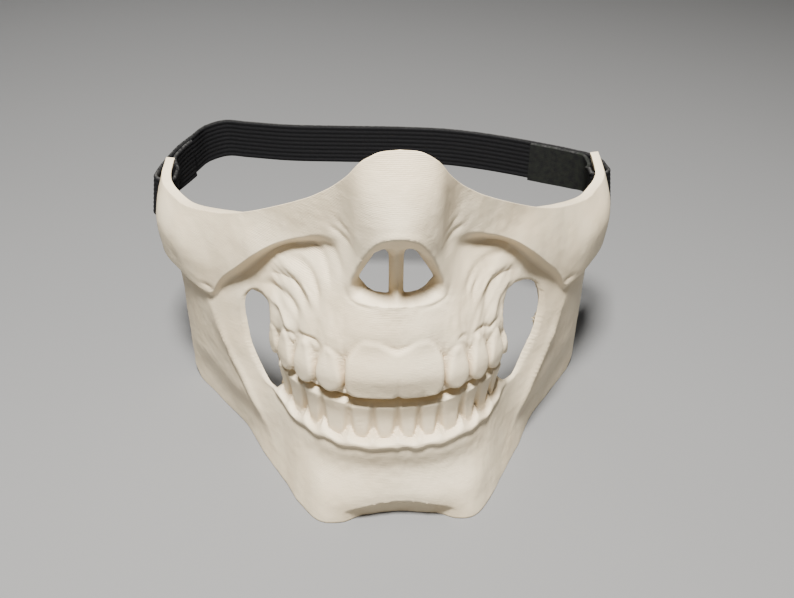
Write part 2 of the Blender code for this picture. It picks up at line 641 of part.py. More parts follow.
def loop_route(bar):
    """The strap round the back of the head, from the +X bar to the -X bar."""
    start = [bar.at(along, bar.outside) for along in (-LUG_BAR / 2, 0, LUG_BAR / 2)]
    sideways, back, height = np.array(STRAP_LOOP, float).T / 100
    lug_end = FRONT_Y + MASK_DEPTH
    loop = np.stack([sideways * HALF_WIDTH, lug_end + back * (STRAP_REACH - STRAP_THICKNESS / 2),
                     height * MASK_HEIGHT], -1)
    end = [spot * (-1, 1, 1) for spot in reversed(start)]
    return smooth_route(start + list(loop) + end, STRAP_STEP)


def folded_end(route, length, bar, side):
    """The end of the strap folded back inside it, from its tip to the bar.

    side is 1 at the +X ear lug and -1 at the other.
    """
    run = np.concatenate([[0], np.cumsum(np.linalg.norm(np.diff(route, axis=0), axis=1))])
    kept = route[run < length]
    ahead = np.gradient(kept, axis=0)
    inward = side * np.stack([-ahead[:, 1], ahead[:, 0], np.zeros(len(kept))], -1)
    inward /= np.linalg.norm(inward, axis=1)[:, None]
    near = STRAP_THICKNESS + STRAP_GAP
    wide = bar.outside - bar.inside
    apart = near + (wide - near) * (1 - smooth_step((run[:len(kept)] - LUG_BAR) / (2 * LUG_BAR)))
    return (kept + inward * apart[:, None])[::-1]


def strap_route(bar):
    """Every section of the strap from one folded end to the other."""
    loop = loop_route(bar)
    flip = (-1, 1, 1)
    turn = bar.turn()
    left_turn = [spot * flip for spot in reversed(turn)]
    right_end = folded_end(loop, FOLD_RIGHT, bar, 1)
    left_end = folded_end(loop[::-1], FOLD_LEFT, bar, -1)[::-1]
    return np.array([*right_end[:-2], *turn, *loop[2:-2], *left_turn, *left_end[2:]])


def strap_mesh(name, bar):
    """The strap: a flat band swept along its route by extruding its end."""
    route = strap_route(bar)
    ahead = np.gradient(route, axis=0)
    from_bar = np.minimum(*(np.linalg.norm(route - bar.centre * (side, 1, 1), axis=1)
                            for side in (1, -1)))
    lean = 1 - smooth_step((from_bar - LUG_BAR) / (3 * LUG_BAR))
    tilt = bar.up[0] / bar.up[2]
    up = np.stack([tilt * lean * np.sign(route[:, 0]), 0 * lean, np.ones(len(route))], -1)
    up -= ahead * (np.sum(up * ahead, 1) / np.sum(ahead * ahead, 1))[:, None]
    up /= np.linalg.norm(up, axis=1)[:, None]
    across = np.cross(ahead, up)
    across /= np.linalg.norm(across, axis=1)[:, None]
    corners = [route + up * STRAP_WIDTH / 2 * a + across * STRAP_THICKNESS / 2 * b
               for a, b in ((-1, -1), (1, -1), (1, 1), (-1, 1))]
    bm = bmesh.new()
    end = bm.faces.new([bm.verts.new(corner[0]) for corner in corners])
    for section in range(1, len(route)):
        grown = bmesh.ops.extrude_discrete_faces(bm, faces=[end])["faces"][0]
        for vert, corner in zip(grown.verts, corners):
            vert.co = corner[section]
        end = grown
    bmesh.ops.holes_fill(bm, edges=[edge for edge in bm.edges if edge.is_boundary], sides=4)
    bmesh.ops.recalc_face_normals(bm, faces=bm.faces[:])
    return finished_mesh(bm, name)


def build_strap(wall):
    """The elastic strap in the slots of the ear lugs."""
    finish = material("black_elastic", (0.012, 0.012, 0.014), 0.85)
    return add_object("strap", strap_mesh("strap", LugBar(wall)), finish)


def clear_scene():
    """Empty the scene."""
    for old in list(bpy.data.objects):
        bpy.data.objects.remove(old, do_unlink=True)


def main():
    """Build the mask and its strap."""
    clear_scene()
    wall = Wall()
    build_mask(wall)
    build_strap(wall)


main()
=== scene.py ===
"""The half-face skull mask: a shell printed in ivory plastic on a ribbed elastic strap.

The face is drawn as a distance from an upright axis behind it, at an angle and
a height. Two sheets give its main form. Teeth, nose cavity, folds and creases
are laid on them, and the openings are let through the finished wall.
"""

import logging
import math
from dataclasses import dataclass, field
from enum import Enum
from typing import Any, Sequence

import bmesh
import bpy
import numpy as np
from mathutils import Matrix, Vector, noise


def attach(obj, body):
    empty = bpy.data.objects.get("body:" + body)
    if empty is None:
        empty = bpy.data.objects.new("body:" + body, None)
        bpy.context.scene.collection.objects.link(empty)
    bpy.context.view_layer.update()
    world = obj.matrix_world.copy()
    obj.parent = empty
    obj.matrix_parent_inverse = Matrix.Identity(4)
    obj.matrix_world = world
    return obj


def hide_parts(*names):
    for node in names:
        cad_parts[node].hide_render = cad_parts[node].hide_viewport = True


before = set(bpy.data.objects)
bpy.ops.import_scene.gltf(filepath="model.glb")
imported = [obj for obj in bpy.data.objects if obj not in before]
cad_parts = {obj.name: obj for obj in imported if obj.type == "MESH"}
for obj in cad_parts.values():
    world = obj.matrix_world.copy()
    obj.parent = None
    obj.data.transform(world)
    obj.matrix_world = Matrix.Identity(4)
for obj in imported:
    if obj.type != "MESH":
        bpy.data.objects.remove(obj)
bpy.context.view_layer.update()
LOG = logging.getLogger("skull_mask")
MM = 0.001

# Sections of the jaw sheet, in percent: a height, then points of the section
# from the middle of the face to the jaw's back edge, sideways and back.
JAW_SECTIONS = (
    # height, middle, incisor, canine, premolar, molar, hole, jaw line, flank, back
    (0, (0, 1.5), (19, 0.2), (30, 0.8), (37.5, 8), (45, 19.5), (53.5, 32), (63.5, 49), (78, 66), (91, 82)),
    (8, (0, 1), (18, 0.8), (29, 3.5), (37, 12), (45, 24), (53.5, 35.5), (63, 48), (78, 66), (91, 82)),
    (16, (0, 3.5), (17, 4.5), (27.5, 8.5), (37, 16.5), (45, 27), (52.5, 35), (59.5, 41.5),
     (76, 60.5), (91, 82)),
    (23.5, (0, 2.5), (17, 4), (26.5, 8.5), (37.5, 19), (44.5, 28), (51.5, 36), (61, 43.5),
     (76.5, 60.5), (91, 82)),
    (32, (0, 6), (17, 7.5), (26.5, 12), (38, 22), (44.5, 30.5), (51.5, 39), (63.5, 46), (78, 61.5),
     (91, 82)),
    (39, (0, 6), (17.5, 8), (27.5, 12.5), (39, 22.5), (45, 31.5), (51.5, 40.5), (67.5, 50),
     (80, 64), (91.5, 82)),
    (47, (0, 5), (18, 8), (28.5, 13), (40, 23), (47, 32.5), (54, 41.5), (68.5, 53), (81, 66.5), (92.5, 83)),
    (55.5, (0, 6.5), (17.5, 10), (27.5, 15.5), (39, 25.5), (47.5, 37), (56, 47), (67.5, 55),
     (81, 70), (93.5, 86)),
    (64, (0, 9), (17, 13.5), (26, 19), (36.5, 29), (46.5, 41), (56, 50), (67.5, 57), (81, 72),
     (93.5, 89.5)),
    (72, (0, 7), (14, 12), (22.5, 22.5), (32.5, 33), (45, 44), (56, 52), (67.5, 59), (81, 74),
     (93.5, 91.5)),
    (81, (0, 3.5), (11, 8.5), (20, 19), (31, 28.5), (44, 39), (56, 50), (67.5, 60), (81, 76), (93.5, 93.5)),
    (91, (0, 7), (11, 9.5), (17.5, 16), (27.5, 26), (42.5, 38.5), (56, 51), (69, 62.5), (82.5, 78),
     (93.5, 96)),
    (100, (0, 12.5), (10, 12.8), (16, 16.5), (26, 26), (41, 38.5), (56, 52), (69, 63.5), (84, 80),
     (93.5, 98)),
)

# Sections of the cheekbone sheet, in the same form.
CHEEK_SECTIONS = (
    # height, nose side, eye front, eye, cheek front, cheek, corner, arch, lug front, lug end
    (38, (15, 14), (27.5, 20), (39, 26), (50, 34), (62, 44.5), (72.5, 54), (86, 69), (96, 83), (97, 100)),
    (47, (16, 15.5), (27.5, 21), (39, 27), (50, 35), (62.5, 45), (73, 54), (88.5, 69), (98, 83), (99, 100)),
    (55.5, (16.5, 16.5), (27.5, 22), (39, 28), (50, 35.5), (62.5, 45.5), (74, 56), (90, 70),
     (98.5, 83), (99.5, 100)),
    (64, (17, 17.5), (27.5, 23), (39, 29.5), (50, 37), (62.5, 48.5), (74, 60.5), (87.5, 75),
     (95.5, 85), (97, 100)),
    (72, (17.5, 18.5), (27.5, 24.5), (39, 32.5), (50, 41.5), (62.5, 53), (72, 64.5), (84, 79),
     (91, 88), (94, 100)),
    (81, (17.5, 18.8), (27.5, 25), (39, 34), (50, 43.5), (62.5, 56), (71.5, 66.5), (82.5, 80),
     (89, 89.5), (93, 100)),
    (100, (16, 16.5), (26, 26), (41, 38.5), (56, 52), (69, 63.5), (75, 71), (84, 80), (89, 90.5),
     (93, 100)),
)

# Lower edge of the cheekbone band: sideways, back and height in percent.
CHEEK_EDGE = (
    (19, 23, 74), (26, 25, 73), (33, 28, 71), (40, 31, 69), (46, 34, 66.5), (52, 38, 62.5),
    (60, 44, 56), (69, 50.5, 48.5), (72.5, 54, 43.5), (76, 58, 42.5), (86, 70, 43), (96, 84, 44),
)

# Upper edge of the mask, under the eyes, in the same form.
EYE_EDGE = (
    (0, 12.5, 100), (8, 12.6, 99.2), (12.5, 13.3, 97), (16.5, 16, 93), (20.5, 19.5, 89.5),
    (27, 25, 85.2), (34, 30.5, 81.5), (41, 36.5, 78), (56, 48, 71.5), (68, 59, 67.2),
    (82, 76, 64.5), (88, 88, 66.4), (93, 100, 68.5),
)

# Teeth from the middle out: sideways and back of the tooth's far side, heights
# of its biting edge and its gum, all in percent, and its share of the relief.
UPPER_TEETH = (
    (17.9, 7.3, 38.6, 54.3, 1.15),
    (27.9, 11.5, 38.6, 50.8, 1.0),
    (35.6, 17.7, 37.9, 50.4, 1.0),
    (42.0, 25.0, 37.3, 48.8, 0.9),
    (46.2, 31.5, 37.3, 47.4, 0.7),
)
LOWER_TEETH = (
    (8.6, 4.7, 36.3, 25.6, 0.9),
    (16.8, 6.3, 36.2, 25.6, 0.95),
    (26.3, 10.4, 37.0, 25.4, 1.0),
    (32.9, 15.6, 36.8, 25.0, 1.0),
    (39.5, 21.9, 36.4, 24.8, 1.0),
    (42.8, 28.1, 36.2, 25.4, 0.8),
)

# Outlines in front view, in percent: the nose cavity's rim and one nose opening.
CAVITY_RIM = (
    (0, 82.6), (6.2, 81), (10, 77.4), (13, 73.3), (15.5, 69.2), (17, 66), (17, 63.6),
    (15.6, 62.8), (12, 62.5), (0, 62.6),
)
NOSE_OPENING = (
    (2.5, 70), (2.6, 73.4), (4, 75), (6.6, 74.4), (9, 72), (11.4, 69.4), (12.6, 67.4), (10.8, 64.9),
    (8, 63.5), (5, 62.9), (2.9, 63), (2.5, 64.5),
)

# The side holes, which are not alike: angle in radians and height in percent.
HOLE_AT_MINUS = (
    (0.86, 51.2), (0.93, 50.2), (0.975, 47.6), (0.985, 43.5), (0.972, 38.5), (0.945, 34), (0.895, 29.8),
    (0.833, 26.4), (0.755, 24.6), (0.69, 25), (0.652, 27), (0.648, 30), (0.662, 33.4), (0.70, 35.6),
    (0.722, 39), (0.715, 43.5), (0.706, 47.5), (0.73, 50.6), (0.79, 51.5),
)
HOLE_AT_PLUS = (
    (0.91, 51.8), (0.978, 49.8), (1.008, 46.9), (1.012, 43), (0.995, 38.7), (0.963, 35), (0.909, 31.2),
    (0.847, 27.7), (0.79, 25.6), (0.72, 25.2), (0.64, 27), (0.585, 30.4), (0.575, 33.5), (0.59, 37),
    (0.60, 40), (0.585, 43.6), (0.565, 48), (0.565, 51.4), (0.59, 53.8), (0.63, 55), (0.70, 55),
    (0.80, 53.8),
)

# Bands of rows: height in percent at the band's top, and its number of rows.
ROW_BANDS = (
    (3, 5), (7, 10), (22, 22), (24, 6), (27, 16), (35, 22), (41, 26), (57, 40), (58.4, 3), (60, 12),
    (66.5, 12), (71, 12), (97, 32), (100, 4),
)
LEVEL_ROWS_END = 54.0
CHEEK_EDGE_ROW = 66.5
TOOTH_COLUMNS = (24, 16, 14, 14, 10)
FLANK_COLUMNS = 72

# The strap's loop behind the mask, from +X to -X: sideways in percent of half
# the width, back from the lug ends in percent of the strap's reach, height.
STRAP_LOOP = (
    (96, 12, 59), (87.5, 21, 59.4), (75, 34, 59.5), (62.5, 48, 59.4), (48, 62.5, 59.2),
    (33, 74, 59), (10, 81, 59), (-19, 85, 59), (-47.5, 89, 59.2), (-66, 96, 59.4),
    (-76, 99.5, 59.5), (-84, 88, 59.5), (-89.5, 63, 59.4), (-95.5, 31, 59.2),
)


class Side(Enum):
    """Half of the face, by the sign of X."""

    MINUS = -1
    PLUS = 1
    BOTH = 0


# Folds of the cheeks and the jaw: side, width and depth in millimetres (a
# negative depth stands proud), and points by sideways and height in millimetres.
FOLDS = (
    (Side.MINUS, 1.1, 0.7, ((26, 84.8), (21.5, 83.8), (19.6, 81.5), (18.8, 78.5), (18.6, 75))),
    (Side.MINUS, 0.8, 0.5, ((19.5, 86.6), (17.2, 86), (15.6, 83.5), (15.4, 80))),
    (Side.MINUS, 1.1, 1.1, ((33, 76.5), (28.5, 78.2), (25, 78), (23.2, 76), (22.4, 72.5), (22.2, 69))),
    (Side.MINUS, 1.3, -0.8, ((36, 73.5), (30, 75.4), (26.6, 74.5), (24.6, 71.5), (24, 67))),
    (Side.MINUS, 1.1, 0.9, ((39, 68.5), (33, 71.8), (28.8, 72.4), (26.4, 70), (25.6, 66))),
    (Side.MINUS, 1.2, 1.2, ((41, 64), (36, 66.8), (31.5, 67.6), (29, 65.6), (28.4, 61.5))),
    (Side.MINUS, 1.2, -0.7, ((41, 61.5), (36.5, 63.5), (33, 63), (31.4, 60), (31, 57))),
    (Side.PLUS, 1.1, 1.1, ((37, 74.4), (31, 77.4), (26, 78.6), (22.4, 78), (20.2, 75.4), (19.6, 71))),
    (Side.PLUS, 0.9, 0.8, ((32, 75), (27, 76.6), (23.8, 76), (22, 73), (21.6, 69))),
    (Side.PLUS, 1.2, -0.6, ((36, 71.8), (31, 74.4), (26.6, 74), (24.2, 71), (23.6, 67))),
    (Side.PLUS, 1.1, 0.9, ((38, 68.6), (33, 71.6), (28.6, 72.2), (26.2, 70), (25.6, 65.5))),
    (Side.PLUS, 1.2, -0.7, ((39, 65.5), (34, 68.5), (30.4, 68), (28.6, 65), (28.4, 61))),
    (Side.PLUS, 1.0, 0.6, ((40, 62.5), (35.5, 65), (32.4, 64), (31.2, 60.5))),
    (Side.BOTH, 0.9, 0.45, ((19, 93.6), (15, 91.8), (12.4, 90.6))),
    (Side.BOTH, 0.8, 0.35, ((17, 97), (14.4, 94.5), (12.6, 94))),
    (Side.BOTH, 1.0, 0.4, ((17.6, 72), (17.8, 67), (18.6, 63))),
    (Side.BOTH, 0.8, 0.35, ((14.8, 70), (15.2, 66), (16.4, 62))),
    (Side.BOTH, 2.6, -1.4, ((60.5, 48.5), (57.3, 43), (54.8, 37.5), (52.2, 31.7), (49, 26.3), (46, 20.3),
                            (43.1, 13.7), (40.6, 7))),
    (Side.BOTH, 0.9, 0.5, ((56.5, 36), (54.2, 30.5), (51.2, 25), (48.4, 19.6), (45.8, 13.6))),
    (Side.BOTH, 0.7, -0.5, ((58.8, 47.5), (56, 42.5), (53.6, 37), (50.6, 31), (47.4, 25.5), (44.4, 19),
                            (41.5, 13), (39, 7))),
    (Side.BOTH, 0.9, 0.6, ((56.3, 53.2), (58.2, 54.4), (60.2, 54.6), (62.4, 53.6))),
    (Side.BOTH, 0.6, 0.30, ((14.6, 80), (14.5, 77.4), (13.6, 75), (11.4, 73.8), (8.6, 73.4), (6, 73.3))),
    (Side.MINUS, 0.7, 0.9, ((29.4, 57.6), (28.2, 59.4), (26, 60.2), (23.6, 60), (21.8, 58.6))),
    (Side.MINUS, 0.7, 0.7, ((32.6, 56.6), (31.6, 58.4), (30.4, 58.2), (29.4, 56.4))),
    (Side.PLUS, 0.7, 0.9, ((21, 60.8), (22.8, 62.2), (25.2, 62), (27, 60.8), (28.8, 61.6), (30.6, 61.2))),
    (Side.PLUS, 0.7, 0.6, ((16.4, 61.6), (18.2, 62.8), (20, 61.4))),
)


def smooth_step(value: Any) -> Any:
    """Ease from 0 to 1 as value goes from 0 to 1."""
    t = np.clip(value, 0.0, 1.0)
    return t * t * (3 - 2 * t)


def ease(value: Any, start: float, span: float) -> Any:
    """Ease from 0 at start to 1 a span further on."""
    return smooth_step((value - start) / span)


def bell(distance: Any, width: float) -> Any:
    """A soft bump of height 1 that is half as high at width on each side."""
    return np.exp(-0.693 * (distance / width) ** 2)


def soft_least(first: Any, second: Any, blend: float) -> Any:
    """The lesser of two distances, rounded where they cross within blend."""
    share = np.clip(0.5 + 0.5 * (second - first) / blend, 0, 1)
    return second + (first - second) * share - blend * share * (1 - share)


def hermite(at: Any, k0: Any, k1: Any, v0: Any, v1: Any, s0: Any, s1: Any) -> Any:
    """Cubic between two knots with a value and a slope at each."""
    step = k1 - k0
    t = (at - k0) / step
    return (v0 * (1 + 2 * t) * (1 - t) ** 2 + s0 * step * t * (1 - t) ** 2
            + v1 * t * t * (3 - 2 * t) + s1 * step * t * t * (t - 1))


def curve_through(knots: Any, values: Any, at: Any) -> np.ndarray:
    """Read a smooth curve through knots and values.

    Args:
        knots: Rising places of the known values.
        values: The known values.
        at: Places to read, held within the knots.

    Returns:
        The curve's value at each place.
    """
    knots, values = np.asarray(knots, float), np.asarray(values, float)
    slopes = np.gradient(values, knots)
    at = np.clip(at, knots[0], knots[-1])
    i = np.clip(np.searchsorted(knots, at) - 1, 0, len(knots) - 2)
    return hermite(at, knots[i], knots[i + 1], values[i], values[i + 1], slopes[i], slopes[i + 1])


def curves_through(knots: Any, table: Any, at: Any) -> np.ndarray:
    """Read a smooth curve through each column of a table."""
    return np.stack([curve_through(knots, column, at) for column in np.asarray(table, float).T], -1)


def run_along(points: np.ndarray) -> np.ndarray:
    """Length of a line up to each of its points."""
    return np.concatenate([[0], np.cumsum(np.linalg.norm(np.diff(points, axis=0), axis=1))])


def to_segment(x: np.ndarray, z: np.ndarray, start: Any, end: Any) -> tuple[np.ndarray, np.ndarray]:
    """Share of the way along a segment, and distance from it, nearest to each place."""
    run, rise = end[0] - start[0], end[1] - start[1]
    off_x, off_z = x - start[0], z - start[1]
    share = np.clip((off_x * run + off_z * rise) / (run * run + rise * rise), 0, 1)
    return share, np.hypot(off_x - share * run, off_z - share * rise)


def rounded(points: Any, steps: int) -> np.ndarray:
    """A closed smooth curve through the points of an outline.

    Args:
        points: Corners of the outline, in order.
        steps: Points made for each corner.

    Returns:
        The points of the curve.
    """
    points = np.asarray(points, float)
    result = []
    for i in range(len(points)):
        a, b, c, d = (points[(i + k) % len(points)] for k in (-1, 0, 1, 2))
        for t in np.arange(steps) / steps:
            result.append(0.5 * (2 * b + (c - a) * t + (2 * a - 5 * b + 4 * c - d) * t * t
                                 + (3 * b - a - 3 * c + d) * t ** 3))
    return np.array(result)


def neighbours(values: np.ndarray) -> list[np.ndarray]:
    """A grid's values one crossing down, up, left and right, held at its edges."""
    wide = np.pad(values, 1, mode="edge")
    return [wide[:-2, 1:-1], wide[2:, 1:-1], wide[1:-1, :-2], wide[1:-1, 2:]]


def smoothed(values: np.ndarray, times: int) -> np.ndarray:
    """Average each crossing of a grid with its neighbours, some times over."""
    for _ in range(times):
        values = sum(neighbours(values), values * 4) / 8
    return values


def smallest_nearby(values: np.ndarray, reach: int) -> np.ndarray:
    """Smallest value within reach crossings of each crossing of a grid."""
    for _ in range(reach):
        values = np.minimum.reduce([values, *neighbours(values)])
    return values


def grain(points: np.ndarray, size: float, seed: float) -> np.ndarray:
    """Even noise between about -1 and 1, with lumps of a given size.

    Args:
        points: Places in metres, in the last axis.
        size: Breadth of a lump, in metres.
        seed: Shift of the pattern, so that two calls differ.

    Returns:
        One value for each place.
    """
    flat = (points.reshape(-1, 3) / size + seed).tolist()
    return np.array([noise.noise(spot) for spot in flat]).reshape(points.shape[:-1])


def finished_mesh(bm: bmesh.types.BMesh, name: str, sharp: float = 60.0) -> bpy.types.Mesh:
    """Turn a bmesh into a smooth shaded mesh.

    Args:
        bm: The bmesh, which is freed.
        name: Name of the mesh.
        sharp: Edges that bend more than this many degrees stay crisp.

    Returns:
        The mesh.
    """
    mesh = bpy.data.meshes.new(name)
    bm.to_mesh(mesh)
    bm.free()
    mesh.shade_smooth()
    mesh.set_sharp_from_angle(angle=math.radians(sharp))
    return mesh


def add_piece(name: str, mesh: bpy.types.Mesh, finish: bpy.types.Material) -> bpy.types.Object:
    """Put a mesh in the scene as one named object with one material."""
    piece = bpy.data.objects.new(name, mesh)
    bpy.context.scene.collection.objects.link(piece)
    piece.data.materials.clear()
    piece.data.materials.append(finish)
    return piece


class Socket:
    """A node's output that Python expressions can be written on."""

    def __init__(self, shader: "Shader", link: bpy.types.NodeSocket) -> None:
        """Keep the output and the shader that it belongs to."""
        self.shader = shader
        self.link = link

    def _maths(self, operation: str, first: Any, second: Any) -> "Socket":
        """Join two values by a Math node."""
        return self.shader.node("ShaderNodeMath", {"operation": operation}, {0: first, 1: second})

    def __add__(self, other: Any) -> "Socket":
        """Sum."""
        return self._maths("ADD", self, other)

    def __sub__(self, other: Any) -> "Socket":
        """Difference."""
        return self._maths("SUBTRACT", self, other)

    def __rsub__(self, other: Any) -> "Socket":
        """Difference from a number."""
        return self._maths("SUBTRACT", other, self)

    def __mul__(self, other: Any) -> "Socket":
        """Product."""
        return self._maths("MULTIPLY", self, other)

    __radd__ = __add__
    __rmul__ = __mul__

    def sine(self) -> "Socket":
        """Sine of the value."""
        return self._maths("SINE", self, 0.0)

    def between(self, low: float, high: float) -> "Socket":
        """Ease from 0 at low to 1 at high."""
        return self.shader.node("ShaderNodeMapRange", {"interpolation_type": "SMOOTHSTEP"},
                                {"Value": self, "From Min": low, "From Max": high})


class Shader:
    """A material under construction."""

    def __init__(self, name: str) -> None:
        """Start a Principled material."""
        self.material = bpy.data.materials.new(name)
        self.material.use_nodes = True
        self.tree = self.material.node_tree
        self.surface = self.tree.nodes["Principled BSDF"]

    def node(self, kind: str, settings: dict[str, Any], inputs: dict[Any, Any],
             output: Any = 0) -> Socket:
        """Add a node.

        Args:
            kind: Blender's type name of the node.
            settings: Properties that are set before the sockets.
            inputs: Values or sockets for the node's inputs, by name or number.
            output: The output that is wanted, by name or number.

        Returns:
            That output.
        """
        made = self.tree.nodes.new(kind)
        for key, value in settings.items():
            setattr(made, key, value)
        for key, value in inputs.items():
            self.give(made.inputs[key], value)
        return Socket(self, made.outputs[output])

    def give(self, socket: bpy.types.NodeSocket, value: Any) -> None:
        """Set a socket to a number or colour, or link an output to it."""
        if isinstance(value, Socket):
            self.tree.links.new(value.link, socket)
        else:
            socket.default_value = value

    def mix(self, share: Any, first: Any, second: Any) -> Socket:
        """Colour that goes from first to second as share goes from 0 to 1."""
        return self.node("ShaderNodeMix", {"data_type": "RGBA"}, {0: share, 6: first, 7: second}, 2)

    def noise(self, place: Any, size: float, detail: float = 3.0) -> Socket:
        """Noise from 0 to 1 with lumps of a size in metres."""
        return self.node("ShaderNodeTexNoise", {},
                         {"Vector": place, "Scale": 1 / size, "Detail": detail}, "Fac")

    def attribute(self, name: str) -> Socket:
        """A number kept on the piece's mesh."""
        return self.node("ShaderNodeAttribute", {"attribute_name": name}, {}, "Fac")

    def place(self) -> Socket:
        """Object coordinates."""
        return self.node("ShaderNodeTexCoord", {}, {}, "Object")

    def axis(self, place: Socket, name: str) -> Socket:
        """One coordinate of a vector."""
        return self.node("ShaderNodeSeparateXYZ", {}, {0: place}, name)

    def bump(self, height: Socket, distance: float) -> Socket:
        """Normal from a height of 0 to 1 that is distance metres high."""
        return self.node("ShaderNodeBump", {}, {"Height": height, "Distance": distance}, "Normal")

    def finish(self, **sockets: Any) -> bpy.types.Material:
        """Set the surface's sockets, named with underscores, and return the material."""
        for key, value in sockets.items():
            self.give(self.surface.inputs[key.replace("_", " ")], value)
        return self.material


@dataclass(frozen=True)
class IvoryPrint:
    """Matte ivory plastic, printed in level layers, with shade painted into its hollows."""

    name: str = "ivory_print"
    colour: tuple[float, float, float, float] = (0.770, 0.635, 0.430, 1)
    pale: tuple[float, float, float, float] = (0.820, 0.700, 0.500, 1)
    # painted shade: a darker brown that stands in for the shade in the face's hollows
    painted_hollow_shade: tuple[float, float, float, float] = (0.470, 0.345, 0.215, 1)
    layer: float = 0.00045
    pit: float = 0.0006
    streak: float = 0.0045
    blotch: float = 0.022
    stretch: tuple[float, float, float] = (1, 1, 9)
    relief_depth: float = 0.00006
    roughness: float = 0.56

    def build(self) -> bpy.types.Material:
        """Make the material."""
        shader = Shader(self.name)
        place = shader.place()
        height = shader.axis(place, "Z")
        wander = shader.noise(place, 0.012) * 0.0005
        lines = ((height + wander) * (2 * math.pi / self.layer)).sine()
        clear = shader.noise(place, 0.009, 2).between(0.35, 0.7)
        pits = shader.noise(place, self.pit, 2)
        flat = shader.node("ShaderNodeVectorMath", {"operation": "MULTIPLY"}, {0: place, 1: self.stretch})
        streaks = shader.noise(flat, self.streak, 4)
        blotch = shader.noise(place, self.blotch, 4)
        hollow = shader.attribute("hollow")
        tone = shader.mix(blotch.between(0.3, 0.7), self.colour, self.pale)
        # painted shade: the colour darkens to brown where the face is hollow
        tone = shader.mix(hollow * 0.4, tone, self.painted_hollow_shade)
        relief = lines * (clear * 0.25 + hollow * 1.5 + 0.08) * 0.6
        relief = relief + pits * 1.1 + streaks * (clear * 0.9 + 0.5)
        rough = self.roughness + (blotch - 0.5) * 0.16 + hollow * 0.1
        return shader.finish(Base_Color=tone, Roughness=rough, Specular_IOR_Level=0.40,
                             Normal=shader.bump(relief, self.relief_depth))


@dataclass(frozen=True)
class BlackElastic:
    """Black ribbed elastic with a worn, matted patch on its folded end."""

    name: str = "black_elastic"
    dark: tuple[float, float, float, float] = (0.005, 0.005, 0.006, 1)
    crest: tuple[float, float, float, float] = (0.014, 0.014, 0.015, 1)
    fuzz: tuple[float, float, float, float] = (0.060, 0.059, 0.057, 1)
    matted: tuple[float, float, float, float] = (0.015, 0.017, 0.014, 1)
    pick: float = 0.00055
    fibre: float = 0.0009
    blotch: float = 0.0022
    relief_depth: float = 0.00012
    roughness: float = 0.78

    def build(self) -> bpy.types.Material:
        """Make the material."""
        shader = Shader(self.name)
        uv = shader.node("ShaderNodeUVMap", {"uv_map": "band"}, {})
        along, across = shader.axis(uv, "X"), shader.axis(uv, "Y")
        picks = (along * (2 * math.pi / self.pick) + across * 9000.0).sine()
        fibre = shader.noise(uv, self.fibre)
        blotch = shader.noise(uv, self.blotch, 4)
        edge, matted = shader.attribute("edge"), shader.attribute("matted")
        tone = shader.mix((picks * 0.35 + fibre).between(0.3, 0.95), self.dark, self.crest)
        tone = shader.mix(edge * fibre.between(0.3, 0.7), tone, self.fuzz)
        tone = shader.mix(matted * blotch.between(0.25, 0.75), tone, self.matted)
        relief = picks * 0.35 + fibre * 0.6
        return shader.finish(Base_Color=tone, Roughness=self.roughness + (fibre - 0.5) * 0.2,
                             Normal=shader.bump(relief, self.relief_depth), Specular_IOR_Level=0.12)


@dataclass(frozen=True)
class PaleFloor:
    """Plain matte floor."""

    name: str = "pale_floor"
    colour: tuple[float, float, float, float] = (0.20, 0.20, 0.20, 1)

    def build(self) -> bpy.types.Material:
        """Make the material."""
        shader = Shader(self.name)
        cloud = shader.noise(shader.place(), 0.35, 2)
        darker = tuple(0.97 * part for part in self.colour[:3]) + (1,)
        return shader.finish(Base_Color=shader.mix(cloud, self.colour, darker), Roughness=0.85)


@dataclass(frozen=True)
class FaceSizes:
    """Outside sizes of the mask, in metres."""

    width: float = 0.160
    height: float = 0.119
    depth: float = 0.096
    strap_reach: float = 0.0415
    setback_share: float = 0.78

    @property
    def half_width(self) -> float:
        """Half of the width."""
        return self.width / 2

    @property
    def setback(self) -> float:
        """Distance of the axis behind the chin."""
        return self.setback_share * self.depth

    @property
    def front_y(self) -> float:
        """Y of the chin's front."""
        return -(self.depth + self.strap_reach) / 2

    @property
    def axis_y(self) -> float:
        """Y of the axis."""
        return self.front_y + self.setback

    def angle_of(self, sideways: Any, back: Any) -> Any:
        """Angle round the axis of a point given in percent, 0 at the front."""
        return np.arctan2(np.asarray(sideways) / 100 * self.half_width,
                          self.setback - np.asarray(back) / 100 * self.depth)

    def place(self, angle: Any, height: Any, radius: Any) -> np.ndarray:
        """Points in the part's frame."""
        return np.stack([radius * np.sin(angle), self.axis_y - radius * np.cos(angle),
                         height * np.ones_like(radius)], -1)

    def edge_height(self, table: Sequence, angle: Any) -> np.ndarray:
        """Height of an edge line at each angle, from a table of its points."""
        rows = np.array(table, float)
        knots = self.angle_of(rows[:, 0], rows[:, 1])
        return curve_through(knots, rows[:, 2] / 100 * self.height, np.abs(angle))


SIZES = FaceSizes()


@dataclass(frozen=True)
class Lean:
    """How far the rows of teeth stand out of true: round to -X, and up at +X."""

    turn: float = 0.075
    rise_at_plus: float = 1.1
    drop_at_minus: float = 0.35

    def to_face(self, angle: Any) -> Any:
        """Angle on the face of an angle in the tables."""
        across = np.abs(angle)
        return angle - self.turn * across * (1 - ease(across, 0.75, 0.35))

    def to_table(self, angle: Any) -> np.ndarray:
        """Angle in the tables of an angle on the face."""
        steps = np.linspace(-1.8, 1.8, 721)
        return np.interp(angle, self.to_face(steps), steps)

    def percent(self, angle: Any, height: Any) -> Any:
        """Height in the tables, in percent, of a height on the face."""
        plus, minus = smooth_step(angle / 0.5), smooth_step(-angle / 0.5)
        return height / SIZES.height * 100 - self.rise_at_plus * plus + self.drop_at_minus * minus


LEAN = Lean()


